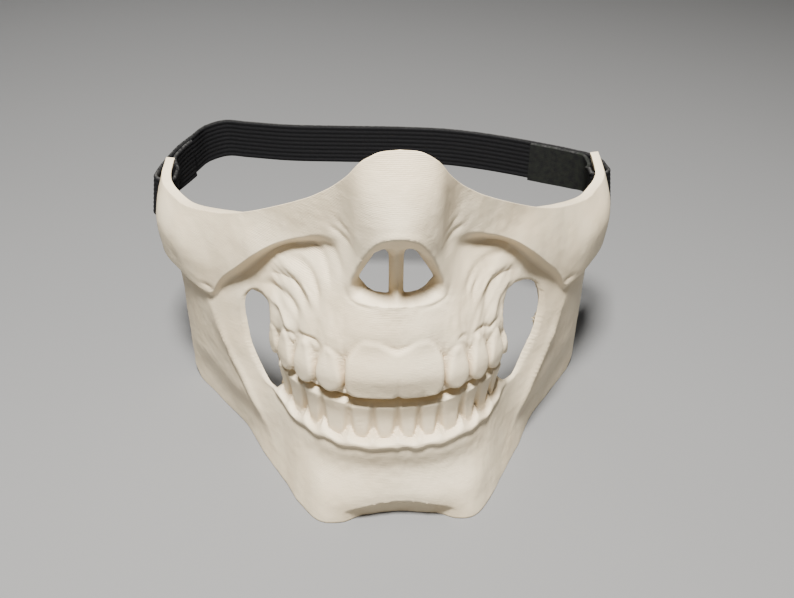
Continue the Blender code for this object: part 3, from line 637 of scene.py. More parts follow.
class Sheet:
    """A smooth sheet through a table of sections."""

    def __init__(self, sections: Sequence) -> None:
        """Keep the heights and the points of the sections, in metres."""
        self.heights = np.array([row[0] for row in sections]) / 100 * SIZES.height
        points = np.array([row[1:] for row in sections], float) / 100
        self.sideways = points[:, :, 0] * SIZES.half_width
        self.back = points[:, :, 1] * SIZES.depth

    def radius(self, angle: np.ndarray, height: np.ndarray) -> np.ndarray:
        """Distance of the sheet from the axis.

        Args:
            angle: Angles round the axis.
            height: Heights, of the same shape.

        Returns:
            The distances, in metres.
        """
        across = np.abs(angle)
        x = curves_through(self.heights, self.sideways, height)
        y = curves_through(self.heights, self.back, height)
        knots = np.arctan2(x, SIZES.setback - y)
        values = np.hypot(x, SIZES.setback - y)
        if np.all(knots[..., 0] < 1e-6):
            knots = np.concatenate([-knots[..., 1:2], knots], -1)
            values = np.concatenate([values[..., 1:2], values], -1)
        rise = (values[..., 2:] - values[..., :-2]) / (knots[..., 2:] - knots[..., :-2])
        first = (values[..., 1:2] - values[..., 0:1]) / (knots[..., 1:2] - knots[..., 0:1])
        last = (values[..., -1:] - values[..., -2:-1]) / (knots[..., -1:] - knots[..., -2:-1])
        slopes = np.concatenate([first, rise, last], -1)
        i = np.sum(knots[..., 1:-1] < across[..., None], -1)[..., None]

        def pick(table: np.ndarray, index: np.ndarray) -> np.ndarray:
            """Value of each place's own span."""
            return np.take_along_axis(table, index, -1)[..., 0]

        inside = np.clip(across, knots[..., 0], knots[..., -1])
        return hermite(inside, pick(knots, i), pick(knots, i + 1), pick(values, i),
                       pick(values, i + 1), pick(slopes, i), pick(slopes, i + 1))


class Outline:
    """A closed outline on a plane, in metres."""

    def __init__(self, points: np.ndarray) -> None:
        """Keep the corners."""
        self.points = np.asarray(points, float)

    def measure(self, x: np.ndarray, z: np.ndarray) -> tuple[np.ndarray, np.ndarray, np.ndarray]:
        """Distance inside the outline and its nearest point.

        Args:
            x: First coordinate of each place.
            z: Second coordinate of each place.

        Returns:
            The distance, positive inside, and the nearest point's coordinates.
        """
        nearest = np.full(x.shape, np.inf)
        inside = np.zeros(x.shape, bool)
        near_x, near_z = np.zeros(x.shape), np.zeros(x.shape)
        for start, end in zip(self.points, np.roll(self.points, -1, 0)):
            (x0, z0), (run, rise) = start, end - start
            share, away = to_segment(x, z, start, end)
            closer = away < nearest
            nearest = np.where(closer, away, nearest)
            near_x = np.where(closer, x0 + share * run, near_x)
            near_z = np.where(closer, z0 + share * rise, near_z)
            if rise:
                inside ^= ((z0 > z) != (end[1] > z)) & (x < run * (z - z0) / rise + x0)
        return np.where(inside, nearest, -nearest), near_x, near_z


@dataclass
class TeethRow:
    """One row of teeth, from a table with a row for each tooth of a half.

    The middle teeth of both halves are one slab with a small notch between them.
    """

    table: Sequence
    stand: float = 0.0026
    edge_round: float = 0.0015
    bite_round: float = 0.0032
    gum_round: float = 0.0016
    # shares of the tooth's height or of half its width
    gum_arch: float = 0.27
    middle_arch: float = 0.12
    far_arch: float = 0.52
    crest: float = 0.15
    narrow: float = 0.60
    slab_narrow: float = 0.13
    neck_share: float = 0.66
    slab_neck: float = 0.16
    # grooves and creases between teeth, swellings of the roots, notch of the slab
    groove: float = 0.0005
    crease: float = 0.0007
    crease_width: float = 0.0005
    root_height: float = 0.0007
    root_reach: float = 0.010
    notch: float = 0.0007
    notch_width: float = 0.0009
    jaw_radius: float = 0.067

    def relief(self, angle: np.ndarray, percent: np.ndarray) -> np.ndarray:
        """Height of the teeth and of the roots' swellings over the jaw.

        Args:
            angle: Angles in the tables.
            percent: Heights in the tables.

        Returns:
            The relief in metres, negative in the grooves between teeth.
        """
        across = np.abs(angle)
        relief, roots, grooves, creases = (np.zeros_like(across) for _ in range(4))
        near, near_spot = 0.0, np.array([0.0, 0.0])
        for sideways, back, biting_edge, gum, share in self.table:
            far = float(SIZES.angle_of(sideways, back))
            spot = np.array([sideways / 100 * SIZES.half_width, back / 100 * SIZES.depth])
            half = np.hypot(*(spot - near_spot)) / 2
            tall = abs(gum - biting_edge) / 100 * SIZES.height
            along = (percent - biting_edge) / (gum - biting_edge)
            u = (across - (near + far) / 2) / ((far - near) / 2)
            slab = near == 0
            if slab:
                to_middle, narrow, neck = u, self.slab_narrow, self.neck_share + self.slab_neck
                arch = np.where(u > self.crest, self.far_arch, self.middle_arch)
                between = bell(u - 1, 0.07) + 0.45 * bell(u + 1, 0.05)
            else:
                to_middle, narrow, neck = np.abs(u), self.narrow, self.neck_share
                arch = self.gum_arch
                between = bell(np.abs(u) - 1, 0.10)
            width = 1.0 - 0.05 * (1 - smooth_step(along / 0.25)) - narrow * ease(along, 0.3, 0.8)
            to_side = (width - to_middle) * half
            to_bite = along * tall - self.notch * bell(across * self.jaw_radius, self.notch_width) * slab
            wobble = (0.008 if slab else 0.03) * np.sin(angle * 83 + 1)
            to_gum = (1 - arch * np.abs(u - self.crest * slab) ** 1.7 + wobble - along) * tall
            inside = soft_least(to_side, to_bite, self.bite_round * (1 if slab else 1.5))
            inside = soft_least(inside, to_gum, self.gum_round)
            crease = bell(to_gum, self.crease_width) * smooth_step(np.abs(u) / 0.6 - 0.5) * (np.abs(u) < 1)
            creases = np.maximum(creases, crease * smooth_step(1.4 - along))
            edge = np.clip(inside / self.edge_round, 0, 1)
            crown = np.sqrt(np.clip(1 - (1 - edge) ** 2, 0, 1))
            crown = crown * (1 - neck * ease(along, 0.35, 0.65))
            crown = crown * (1 + 0.12 * (1 - u * u) * np.clip(1 - along, 0, 1) * (not slab))
            relief = np.maximum(relief, share * self.stand * crown)
            in_row = smooth_step(along / 0.06) * smooth_step((0.92 - along) / 0.25)
            grooves = np.maximum(grooves, between * in_row)
            past = (along - 0.9) * tall
            swell = smooth_step(past / 0.005 + 0.5) * (1 - ease(past, 0.004, self.root_reach))
            roots = np.maximum(roots, bell(u, 0.6) * swell)
            near, near_spot = far, spot
        return relief - grooves * self.groove - creases * self.crease + roots * self.root_height


@dataclass
class LowerJaw:
    """Lower teeth that stand in a gutter behind a crisp lip."""

    table: Sequence = LOWER_TEETH
    # heights in percent of the mask's
    lip_level: float = 24.9
    lip_dip: float = 1.6
    lip_rise: float = 2.4
    # in metres, and how far the gum climbs between two teeth
    lip_height: float = 0.0009
    gutter: float = 0.0033
    papilla: float = 3.4
    face_top: float = 0.0010
    face_fall: float = 0.0030
    side_round: float = 0.0013
    side_drop: float = 0.0017
    top_round: float = 0.0013
    top_drop: float = 0.0015
    jaw_radius: float = 0.066

    def relief(self, angle: np.ndarray, percent: np.ndarray) -> np.ndarray:
        """Relief of the lip, the gutter behind it and the teeth in the gutter.

        Args:
            angle: Angles in the tables.
            percent: Heights in the tables.

        Returns:
            The relief over the jaw sheet, in metres.
        """
        across = np.abs(angle)
        borders = np.array([0.0] + [float(SIZES.angle_of(*row[:2])) for row in self.table])
        tooth = np.interp(across, borders, np.arange(len(borders)))
        index = np.clip(tooth.astype(int), 0, len(self.table) - 1)
        u = np.abs(2 * (tooth - index) - 1)
        top = np.array([row[2] for row in self.table])[index]
        share = np.array([row[4] for row in self.table])[index]
        half = np.diff(borders)[index] * self.jaw_radius / 2
        level = self.lip_level - self.lip_dip * ease(across, 0.22, 0.3)
        level = level + self.lip_rise * ease(across, 0.48, 0.2)
        over = percent - (level + 0.22 * np.sin(tooth * 5.1) + 0.12 * np.sin(angle * 61))
        up = over / (1.0 + self.papilla * u ** 2.4)
        fall = smooth_step(up * 0.5 + 0.5 * np.clip(up, 0, 1) ** 1.5)
        below = smooth_step((over + 1.7) / 1.3)
        gum = np.where(over > 0, self.lip_height - (self.lip_height + self.gutter) * fall,
                       self.lip_height * (below - 0.35 * bell(over + 2.2, 1.2)))
        drop = np.clip((top - percent) / (top - 25.5), 0, 1)
        face = share * self.face_top * 1.6 - self.face_fall * drop ** 1.4
        to_side = (1.02 - 0.24 * drop ** 1.4 - u) * half
        to_top = (top - 0.25 * u ** 2 - percent) / 100 * SIZES.height
        round_off = np.clip(1 - to_side / self.side_round, 0, 1)
        face = face - self.side_drop * smooth_step(round_off) * (0.28 + 0.9 * drop)
        face = face - self.top_drop * np.clip(1 - to_top / self.top_round, 0, 3) ** 1.2
        result = np.where(percent < top + 1.2, np.maximum(gum, face), gum)
        return result * (1 - ease(across, borders[-1] * 0.93, 0.22))


@dataclass
class Fold:
    """A fold or a ridge along a line on the face, in front view."""

    side: Side
    width: float
    depth: float
    points: Sequence

    def relief(self, x: np.ndarray, z: np.ndarray) -> np.ndarray:
        """Height of the fold, tapering to nothing at its ends.

        Args:
            x: Sideways place, in metres.
            z: Height, in metres.

        Returns:
            The relief, in metres.
        """
        knots = np.arange(len(self.points))
        fine = np.linspace(0, knots[-1], 8 * len(knots))
        line = curves_through(knots, self.points, fine) * MM
        aside = np.abs(x) if self.side is Side.BOTH else x * self.side.value
        nearest = np.full(x.shape, np.inf)
        progress = np.zeros(x.shape)
        for i, (start, end) in enumerate(zip(line[:-1], line[1:])):
            share, away = to_segment(aside, z, start, end)
            progress = np.where(away < nearest, (i + share) / (len(line) - 1), progress)
            nearest = np.minimum(nearest, away)
        taper = smooth_step(progress / 0.3) * smooth_step((1 - progress) / 0.3)
        profile = np.clip(1 - nearest / (2.2 * self.width * MM), 0, 1) ** 2
        return -self.depth * MM * profile * (0.15 + 0.85 * taper) * (nearest < 0.01)


@dataclass
class NoseCavity:
    """The pocket behind the nose's rim, a little to the -X side."""

    depth: float = 0.0075
    middle: float = 0.69
    shift: float = -0.0003
    septum: float = 0.0037
    ridge: float = 0.0010
    flare: float = 0.0040
    flare_level: float = 0.735
    low_level: float = 0.668
    rim_swell: float = 0.0003

    def floor(self, jaw: Sheet) -> float:
        """Distance of the pocket's floor from the axis."""
        return float(jaw.radius(np.zeros(1), np.array([self.middle * SIZES.height]))[0]) - self.depth

    def rim(self) -> Outline:
        """The rim in front view."""
        half = np.array(CAVITY_RIM) / 100 * (SIZES.half_width, SIZES.height)
        whole = rounded(np.concatenate([half, half[-2:0:-1] * (-1, 1)]), 5)
        return Outline(whole + (self.shift, 0))

    def opening(self) -> np.ndarray:
        """Points of the +X opening in front view."""
        points = rounded(np.array(NOSE_OPENING) / 100 * (SIZES.half_width, SIZES.height), 6)
        return np.maximum(points, (self.septum / 2, 0))

    def carve(self, radius: np.ndarray, front_x: np.ndarray, height: np.ndarray,
              jaw: Sheet) -> np.ndarray:
        """Sink the pocket into the face, sloping from its rim to its openings.

        Args:
            radius: Distance of the face from the axis.
            front_x: Sideways place in front view.
            height: Height of each place.
            jaw: Sheet that the floor is measured from.

        Returns:
            The distance with the pocket in it.
        """
        inside = self.rim().measure(front_x, height)[0]
        from_middle = front_x - self.shift
        to_opening = np.maximum(-Outline(self.opening()).measure(np.abs(from_middle), height)[0], 0)
        share = np.clip(1.25 * inside / (np.maximum(inside, 0) + to_opening + 1e-6), 0, 1)
        ridge = self.ridge * bell(from_middle, 0.0013) * share
        flare = self.flare * smooth_step((height / SIZES.height - self.flare_level) / 0.05)
        bottom = np.minimum(self.floor(jaw) + ridge + flare, radius)
        low_rim = smooth_step((self.low_level - height / SIZES.height) / 0.025)
        share = share ** (1 + 0.5 * low_rim)
        soft = self.rim_swell * bell(inside + 0.0006, 0.0007) * (1 - low_rim)
        return radius + soft * (1 - np.clip(share * 3, 0, 1)) + share * (bottom - radius)


@dataclass
class Strands:
    """Fine strands that run from under the cheekbone round to the teeth's roots."""

    centre: tuple[float, float] = (0.045, 0.051)
    near: float = 0.011
    far: float = 0.033
    level: float = 0.053
    fade_in: float = 0.005
    fade_out: float = 0.009
    pitch: float = 0.0017
    depth: float = 0.00030

    def relief(self, x: np.ndarray, z: np.ndarray) -> np.ndarray:
        """Relief of the strands.

        Args:
            x: Sideways place in front view.
            z: Height.

        Returns:
            The relief, in metres.
        """
        inward = np.maximum(self.centre[0] - np.abs(x), 1e-5)
        upward = np.maximum(z - self.centre[1], 1e-5)
        bow = (inward ** 2.6 + upward ** 2.6) ** (1 / 2.6)
        along = np.arctan2(upward, inward)
        places = np.stack([bow / self.pitch, along * 1.5, 3.0 * np.sign(x)], -1)
        value = grain(places, 1.0, 5.5) + 0.6 * grain(places * (2.3, 1.2, 1), 1.0, 9.5)
        within = smooth_step((bow - self.near) / self.fade_in)
        within = within * (1 - smooth_step((bow - self.far + self.fade_out) / self.fade_out))
        within = within * ease(inward, 0.003, 0.008)
        return self.depth * value * within * smooth_step((z - self.level) / 0.006)


@dataclass
class FaceForm:
    """Everything that shapes the outside of the mask."""

    upper: TeethRow = field(default_factory=lambda: TeethRow(UPPER_TEETH))
    lower: LowerJaw = field(default_factory=LowerJaw)
    cavity: NoseCavity = field(default_factory=NoseCavity)
    strands: Strands = field(default_factory=Strands)
    jaw: Sheet = field(default_factory=lambda: Sheet(JAW_SECTIONS))
    cheek: Sheet = field(default_factory=lambda: Sheet(CHEEK_SECTIONS))
    bite_level: float = 37.3
    bite_depth: float = 0.0054
    bite_half: float = 0.25
    bite_edge: float = 0.5
    chin_notch: float = 0.0025
    chin_shift: float = 0.0008
    roughness: float = 0.00017
    lump: float = 0.0075
    small_lump: float = 0.0028
    stipple: float = 0.0012

    def cheek_share(self, angle: np.ndarray, height: np.ndarray) -> np.ndarray:
        """How far the cheekbone sheet has taken over from the jaw sheet."""
        across = np.abs(angle)
        crisp = ease(across, 0.35, 0.35)
        step = (0.042 - 0.022 * crisp) * SIZES.height
        above = (height - SIZES.edge_height(CHEEK_EDGE, angle)) / step
        from_nose = (across - SIZES.angle_of(13, 15)) / SIZES.angle_of(12, 5)
        return smooth_step(above + 0.4) * smooth_step(from_nose)

    def mouth(self, angle: np.ndarray, height: np.ndarray) -> np.ndarray:
        """Relief of the teeth, the bite, the gutter and the lip."""
        table = LEAN.to_table(angle)
        percent = LEAN.percent(table, height)
        past = np.abs(table) / float(SIZES.angle_of(*UPPER_TEETH[-1][:2]))
        upper, lower = self.upper.relief(table, percent), self.lower.relief(table, percent)
        fade = 1 - ease(past, 0.96, 0.25)
        level = self.bite_level - 0.5 * ease(past, 0.35, 0.6)
        tight = ease(past, 0.35, 0.3)
        beyond = np.abs(percent - level) - self.bite_half + self.bite_half * tight
        bite = (1 - smooth_step(beyond / (self.bite_edge - 0.15 * tight))) * fade * (1 - 0.4 * tight)
        both = np.where(percent > level, upper, lower)
        return both - bite * (self.bite_depth + np.minimum(both, 0) * 0.8)

    def chin(self, sideways: np.ndarray, percent: np.ndarray) -> np.ndarray:
        """Depth of the edge that is turned under between the two chin bumps."""
        reach = smooth_step((0.0180 - sideways) / 0.0065)
        top = 6.4 - 2.1 * (sideways / 0.0150) ** 2
        return self.chin_notch * reach * smooth_step((top - percent) / 0.9)

    def radius(self, angle: np.ndarray, height: np.ndarray) -> np.ndarray:
        """Outer surface of the mask.

        Args:
            angle: Angles round the axis.
            height: Heights, of the same shape.

        Returns:
            Distance from the axis, in metres.
        """
        jaw = self.jaw.radius(angle, height)
        share = self.cheek_share(angle, height)
        radius = jaw + share * (self.cheek.radius(angle, height) - jaw)
        percent = height / SIZES.height * 100
        x = radius * np.sin(angle)
        radius = radius + self.mouth(angle, height) + self.strands.relief(x, height) * (1 - 0.85 * share)
        for row in FOLDS:
            radius = radius + Fold(*row).relief(x, height)
        radius = radius - self.chin(np.abs(x - self.chin_shift), percent)
        spots = SIZES.place(angle, height, radius)
        teeth = bell(percent - 40, 14) * (1 - ease(np.abs(angle), 0.75, 0.2))
        lumps = grain(spots, self.lump, 3.1) * 1.1 + grain(spots, self.small_lump, 7.7) * 0.55
        bone = bell(percent - 59, 4) * bell(x, 0.016) + 0.8 * bell(percent - 17, 6) * bell(x, 0.03)
        stipple = grain(spots * (1, 1, 0.6), self.stipple, 1.3) * (bone + 0.35)
        radius = radius + self.roughness * (lumps * (1 - 0.6 * teeth) + 0.8 * stipple)
        front_x = self.jaw.radius(np.zeros_like(angle), height) * np.sin(angle)
        return self.cavity.carve(radius, front_x, height, self.jaw)


@dataclass
class Opening:
    """A hole right through the mask, on the plane of angle and height."""

    outline: Outline
    edge_round: float
    slant: float = 0.0

    def mirrored(self) -> "Opening":
        """The same hole on the other side of the face."""
        return Opening(Outline(self.outline.points[::-1] * (-1, 1)), self.edge_round, self.slant)


@dataclass
class MaskShell:
    """The printed shell: its wall, its openings and its finish."""

    form: FaceForm = field(default_factory=FaceForm)
    finish: IvoryPrint = field(default_factory=IvoryPrint)
    wall: float = 0.0030
    least_wall: float = 0.0012
    inner_reach: int = 4
    inner_rounds: int = 40
    lean_limit: float = 1.7
    # strap slots in the ear lugs, and the cut corner below them
    slot_width: float = 0.0042
    slot_clearance: float = 0.0008
    lug_bar: float = 0.0055
    strap_width: float = 0.015
    lug_middle: float = 0.58 * SIZES.height
    corner_cut: float = 0.06
    # slit of the bite, sideways in radians
    slit_height: float = 0.0020
    slit_reach: float = 0.185
    slit_shift: float = -0.012
    slit_bow: float = 0.0006
    # rounding of each kind of hole, and how its walls slant through the shell
    side_round: float = 0.0010
    nose_round: float = 0.0005
    slot_round: float = 0.0004
    slit_round: float = 0.0002
    slant_reach: float = 0.009
    slant_limit: float = 0.006
    opening_fall: float = 0.50
    rim_fall: float = 0.0015
    # how the grid is drawn onto the edges of holes: metres for a radian, rounds and reach
    scale: float = 0.065
    slide_rounds: int = 8
    eased_reach: float = 0.0035
    eased_rounds: int = 6
    # dents that take the painted shade, outer rims, and the thinned grid of the inner wall
    hollow_depth: float = 0.0016
    rim_bevel: float = 0.0008
    crisp_rim: float = math.radians(50)
    lining_share: float = 0.64
    lining_margin: int = 4
    hole_margin: float = 0.0025

    def __post_init__(self) -> None:
        """Lay out the grid and work out both walls on it."""
        self.angle, self.height = self.grid()
        self.outer = self.form.radius(self.angle, self.height)
        self.inner = self.inner_radius(self.outer)

    def back_angle(self, height: Any) -> Any:
        """Angle of the back edge: the jaw's below, the ear lug's above."""
        percent = height / SIZES.height * 100
        jaw_back, lug_back = float(SIZES.angle_of(91, 82)), float(SIZES.angle_of(98, 100))
        corner = self.corner_cut * (1 - smooth_step(percent / 6))
        return jaw_back - corner + (lug_back - jaw_back) * ease(percent, 43.5, 10)

    def rows(self) -> np.ndarray:
        """Heights of the rows in percent."""
        edges, start = [0.0], 0.0
        for top, count in ROW_BANDS:
            edges += list(np.linspace(start, top, count + 1)[1:])
            start = top
        return np.array(edges)

    def columns(self) -> tuple[np.ndarray, np.ndarray]:
        """Angles of the columns through the upper and the lower teeth, one side."""
        upper, lower = [0.0], [0.0]
        for row, low, count in zip(UPPER_TEETH, LOWER_TEETH[1:], TOOTH_COLUMNS):
            for line, end in ((upper, row), (lower, low)):
                line += list(np.linspace(line[-1], float(SIZES.angle_of(*end[:2])), count + 1)[1:])
        return np.array(upper), np.array(lower)

    def grid(self) -> tuple[np.ndarray, np.ndarray]:
        """Angle and height of each crossing, rows by columns."""
        upper, lower = self.columns()
        rows = self.rows()[:, None] / 100 * SIZES.height
        turn = ease(rows / SIZES.height * 100, 35.5, 5)
        teeth = lower + (upper - lower) * turn
        steps = np.linspace(0, 1, FLANK_COLUMNS + 1)[1:]
        flank = teeth[:, -1:] + (self.back_angle(rows) - teeth[:, -1:]) * steps
        half = np.concatenate([teeth, flank], 1)
        angle = LEAN.to_face(np.concatenate([-half[:, :0:-1], half], 1))
        level, edge_row = LEVEL_ROWS_END / 100 * SIZES.height, CHEEK_EDGE_ROW / 100 * SIZES.height
        edge, top = SIZES.edge_height(CHEEK_EDGE, angle), SIZES.edge_height(EYE_EDGE, angle)
        hinge = np.minimum(level, edge - (edge_row - level))
        low = rows * hinge / level
        middle = hinge + (rows - level) / (edge_row - level) * (edge - hinge)
        high = edge + (rows - edge_row) / (SIZES.height - edge_row) * (top - edge)
        return angle, np.where(rows <= level, low, np.where(rows <= edge_row, middle, high))

    def inner_radius(self, outer: np.ndarray) -> np.ndarray:
        """Plain inner wall, a printed wall's thickness behind the face.

        Args:
            outer: Distance of the face from the axis at each crossing.

        Returns:
            Distance of the inner wall.
        """
        low = smoothed(smallest_nearby(outer, self.inner_reach), self.inner_rounds)
        low = np.minimum(low, outer - 0.1 * self.wall)
        low += (outer - low) * ease(np.abs(self.angle), 1.2, 0.35)
        lean_up = np.gradient(low, axis=0) / np.gradient(self.height, axis=0)
        lean_round = np.gradient(low, axis=1) / np.gradient(self.angle, axis=1) / low
        lean = np.clip(np.sqrt(1 + lean_up ** 2 + lean_round ** 2), 1, self.lean_limit)
        return smoothed(low - self.wall * smoothed(lean, 12), 6)

    def even_table(self, values: np.ndarray) -> tuple[np.ndarray, np.ndarray, np.ndarray]:
        """Lay the grid's values out at even angles and heights.

        Args:
            values: A value at each crossing.

        Returns:
            The angles, the heights and the values, heights by angles.
        """
        heights = np.linspace(0, SIZES.height, 240)
        angles = np.linspace(self.angle.min(), self.angle.max(), 480)
        upright = np.array([[np.interp(heights, *column) for column in zip(self.height.T, table.T)]
                            for table in (self.angle, values)])
        rows = [np.interp(angles, *pair) for pair in zip(upright[0].T, upright[1].T)]
        return angles, heights, np.array(rows)

    def inner_at(self, angle: np.ndarray, height: np.ndarray) -> np.ndarray:
        """Inner wall's distance from the axis at any place."""
        angles, heights, table = self.even_table(self.inner)
        i = np.clip((angle - angles[0]) / (angles[1] - angles[0]), 0, len(angles) - 1.001)
        k = np.clip(height / heights[1], 0, len(heights) - 1.001)
        column, row = i.astype(int), k.astype(int)
        s, t = i - column, k - row
        low, high = (table[line, column] * (1 - s) + table[line, column + 1] * s for line in (row, row + 1))
        return low * (1 - t) + high * t

    def radii(self, angle: float, height: float) -> tuple[float, float]:
        """Outer and inner distance from the axis at one place."""
        angles, outer, inner = ([np.interp(height, *column) for column in zip(self.height.T, table.T)]
                                for table in (self.angle, self.outer, self.inner))
        return float(np.interp(angle, angles, outer)), float(np.interp(angle, angles, inner))

    def slot_angles(self) -> tuple[float, float]:
        """Angles of the strap slot's front and back edge."""
        back = float(self.back_angle(self.lug_middle))
        radius = self.radii(back, self.lug_middle)[0]
        return back - (self.lug_bar + self.slot_width) / radius, back - self.lug_bar / radius

    def openings(self) -> list[Opening]:
        """Every hole in the shell."""
        cavity = self.form.cavity
        floor = cavity.floor(self.form.jaw)
        points = cavity.opening()
        nose = np.stack([np.arcsin(points[:, 0] / floor), points[:, 1]], -1)
        plus_hole, minus_hole = (Outline(rounded(np.array(table) * (1, SIZES.height / 100), 4))
                                 for table in (HOLE_AT_PLUS, HOLE_AT_MINUS))
        front, back = self.slot_angles()
        tall = self.strap_width / 2 + self.slot_clearance
        low, high = self.lug_middle - tall, self.lug_middle + tall
        slot = np.array([(front, low), (back, low), (back, high), (front, high)])
        steps = np.linspace(-1, 1, 25)
        half_slit = self.slit_height / 2 * np.sqrt(1 - 0.98 * steps ** 4)
        middle = self.form.bite_level / 100 * SIZES.height - self.slit_bow * steps ** 2
        across = steps * self.slit_reach + self.slit_shift
        slit = np.concatenate([np.stack([across, middle - half_slit], -1),
                               np.stack([across, middle + half_slit], -1)[::-1]])
        pairs = [Opening(Outline(nose), self.nose_round, 1.0), Opening(Outline(slot), self.slot_round)]
        holes = [half for pair in pairs for half in (pair, pair.mirrored())]
        for hole in holes[:2]:
            hole.outline = Outline(hole.outline.points + (cavity.shift / floor, 0))
        return holes + [Opening(plus_hole, self.side_round, 1.0),
                        Opening(minus_hole, self.side_round, 1.0).mirrored(),
                        Opening(Outline(slit), self.slit_round)]

    def drawn_onto(self, outline: Outline, x: np.ndarray, z: np.ndarray
                   ) -> tuple[np.ndarray, np.ndarray, np.ndarray, np.ndarray]:
        """Move the crossings next to an outline onto it, and ease their neighbours.

        Args:
            outline: The outline.
            x: First coordinate of each crossing, in the outline's plane.
            z: Second coordinate of each crossing.

        Returns:
            The new coordinates, the cells inside the outline, and each
            crossing's distance outside it.
        """
        centres = [(v[:-1, :-1] + v[1:, :-1] + v[:-1, 1:] + v[1:, 1:]) / 4 for v in (x, z)]
        inner_cells = outline.measure(*centres)[0] > 0
        touched = np.zeros(x.shape, int)
        for rows in (slice(None, -1), slice(1, None)):
            for columns in (slice(None, -1), slice(1, None)):
                touched[rows, columns] += inner_cells
        border = (touched > 0) & (touched < 4)
        depth, near_x, near_z = outline.measure(x, z)
        new_x, new_z = np.where(border, near_x, x), np.where(border, near_z, z)
        gone = np.pad(inner_cells, 1)
        level, upright = gone[:-1, 1:-1] != gone[1:, 1:-1], gone[1:-1, :-1] != gone[1:-1, 1:]

        def ring_total(values: np.ndarray) -> np.ndarray:
            """Sum over the two neighbours of each crossing along the hole's edge."""
            total = np.zeros(values.shape)
            total[:, 1:] += level * values[:, :-1]
            total[:, :-1] += level * values[:, 1:]
            total[1:] += upright * values[:-1]
            total[:-1] += upright * values[1:]
            return total

        count = np.maximum(ring_total(np.ones(x.shape)), 1)
        for _ in range(self.slide_rounds):
            slid = [(values + ring_total(values) / count)[border] / 2 for values in (new_x, new_z)]
            new_x[border], new_z[border] = outline.measure(*slid)[1:]
        free = ~border & (np.abs(depth) < self.eased_reach)
        for _ in range(self.eased_rounds):
            for values in (new_x, new_z):
                mean = sum(neighbours(values)) / 4
                values[free] += 0.5 * (mean[free] - values[free])
        depth, near_x, near_z = outline.measure(new_x, new_z)
        stray = (touched == 0) & (depth > 0)
        new_x, new_z = np.where(stray, near_x, new_x), np.where(stray, near_z, new_z)
        outside = np.where(border | (touched == 4), 0.0, -depth)
        return new_x, new_z, inner_cells, np.maximum(outside, 0)

    def layers(self) -> tuple[np.ndarray, ...]:
        """Both walls with their openings.

        Returns:
            Points of the outer wall, points of the inner wall, the cells that
            are kept, how hollow the face is at each crossing and how far each
            crossing is from a hole.
        """
        angle, height = self.angle.copy(), self.height.copy()
        kept = np.ones((angle.shape[0] - 1, angle.shape[1] - 1), bool)
        rounding, slant = np.zeros_like(angle), np.zeros_like(angle)
        from_hole = np.full_like(angle, np.inf)
        jaw = self.form.jaw.radius(angle, height)
        x, height = self.drawn_onto(self.form.cavity.rim(), jaw * np.sin(angle), height)[:2]
        angle = np.where(np.abs(angle) < 0.5, np.arcsin(np.clip(x / jaw, -0.9, 0.9)), angle)
        for hole in self.openings():
            outline = Outline(hole.outline.points * (self.scale, 1))
            x, height, gone, outside = self.drawn_onto(outline, angle * self.scale, height)
            angle, kept = x / self.scale, kept & ~gone
            from_hole = np.minimum(from_hole, outside)
            near = np.clip(1 - outside / hole.edge_round, 0, 1)
            rounding = np.maximum(rounding, hole.edge_round * (1 - np.sqrt(1 - near ** 2)))
            slant = np.maximum(slant, hole.slant * (1 - smooth_step(outside / self.slant_reach)))
        outer = self.form.radius(angle, height)
        through = outer - self.inner_at(angle, height)
        back = slant * np.minimum(through / np.cos(np.clip(angle, -1, 1)), self.slant_limit)
        inner_angle = angle + back * np.sin(angle) / outer
        inner_height = height - self.opening_fall * back
        cover = self.form.radius(inner_angle, inner_height) - self.least_wall
        inner = np.minimum(self.inner_at(inner_angle, inner_height), cover)
        rim = ease(self.rows(), 90, 10)[:, None]
        inner_height = inner_height - self.rim_fall * rim * (1 - ease(np.abs(angle), 0.9, 0.3))
        in_cavity = smooth_step(self.form.cavity.rim().measure(jaw * np.sin(angle), height)[0] / 0.001)
        # depth below the smoothed face; the ivory paints shade from it, and roughens and lines the hollows
        hollow = np.clip((smoothed(outer, 30) - outer) / self.hollow_depth, 0, 1) * (1 - 0.6 * in_cavity)
        return (SIZES.place(angle, height, outer - rounding),
                SIZES.place(inner_angle, inner_height, inner + rounding), kept, hollow, from_hole)

    def mesh(self) -> bpy.types.Mesh:
        """Drape a grid over both walls, open its holes and round its rims."""
        outer, inner, kept, hollow, from_hole = self.layers()
        rows, columns = self.angle.shape
        bm = bmesh.new()
        tone = bm.verts.layers.float.new("hollow")
        bmesh.ops.create_grid(bm, x_segments=columns - 1, y_segments=rows - 1, size=1)

        def cell(spot: Vector) -> tuple[int, int]:
            """Row and column of a place on the flat grid."""
            return int((spot.y + 1) / 2 * (rows - 1)), int((spot.x + 1) / 2 * (columns - 1))

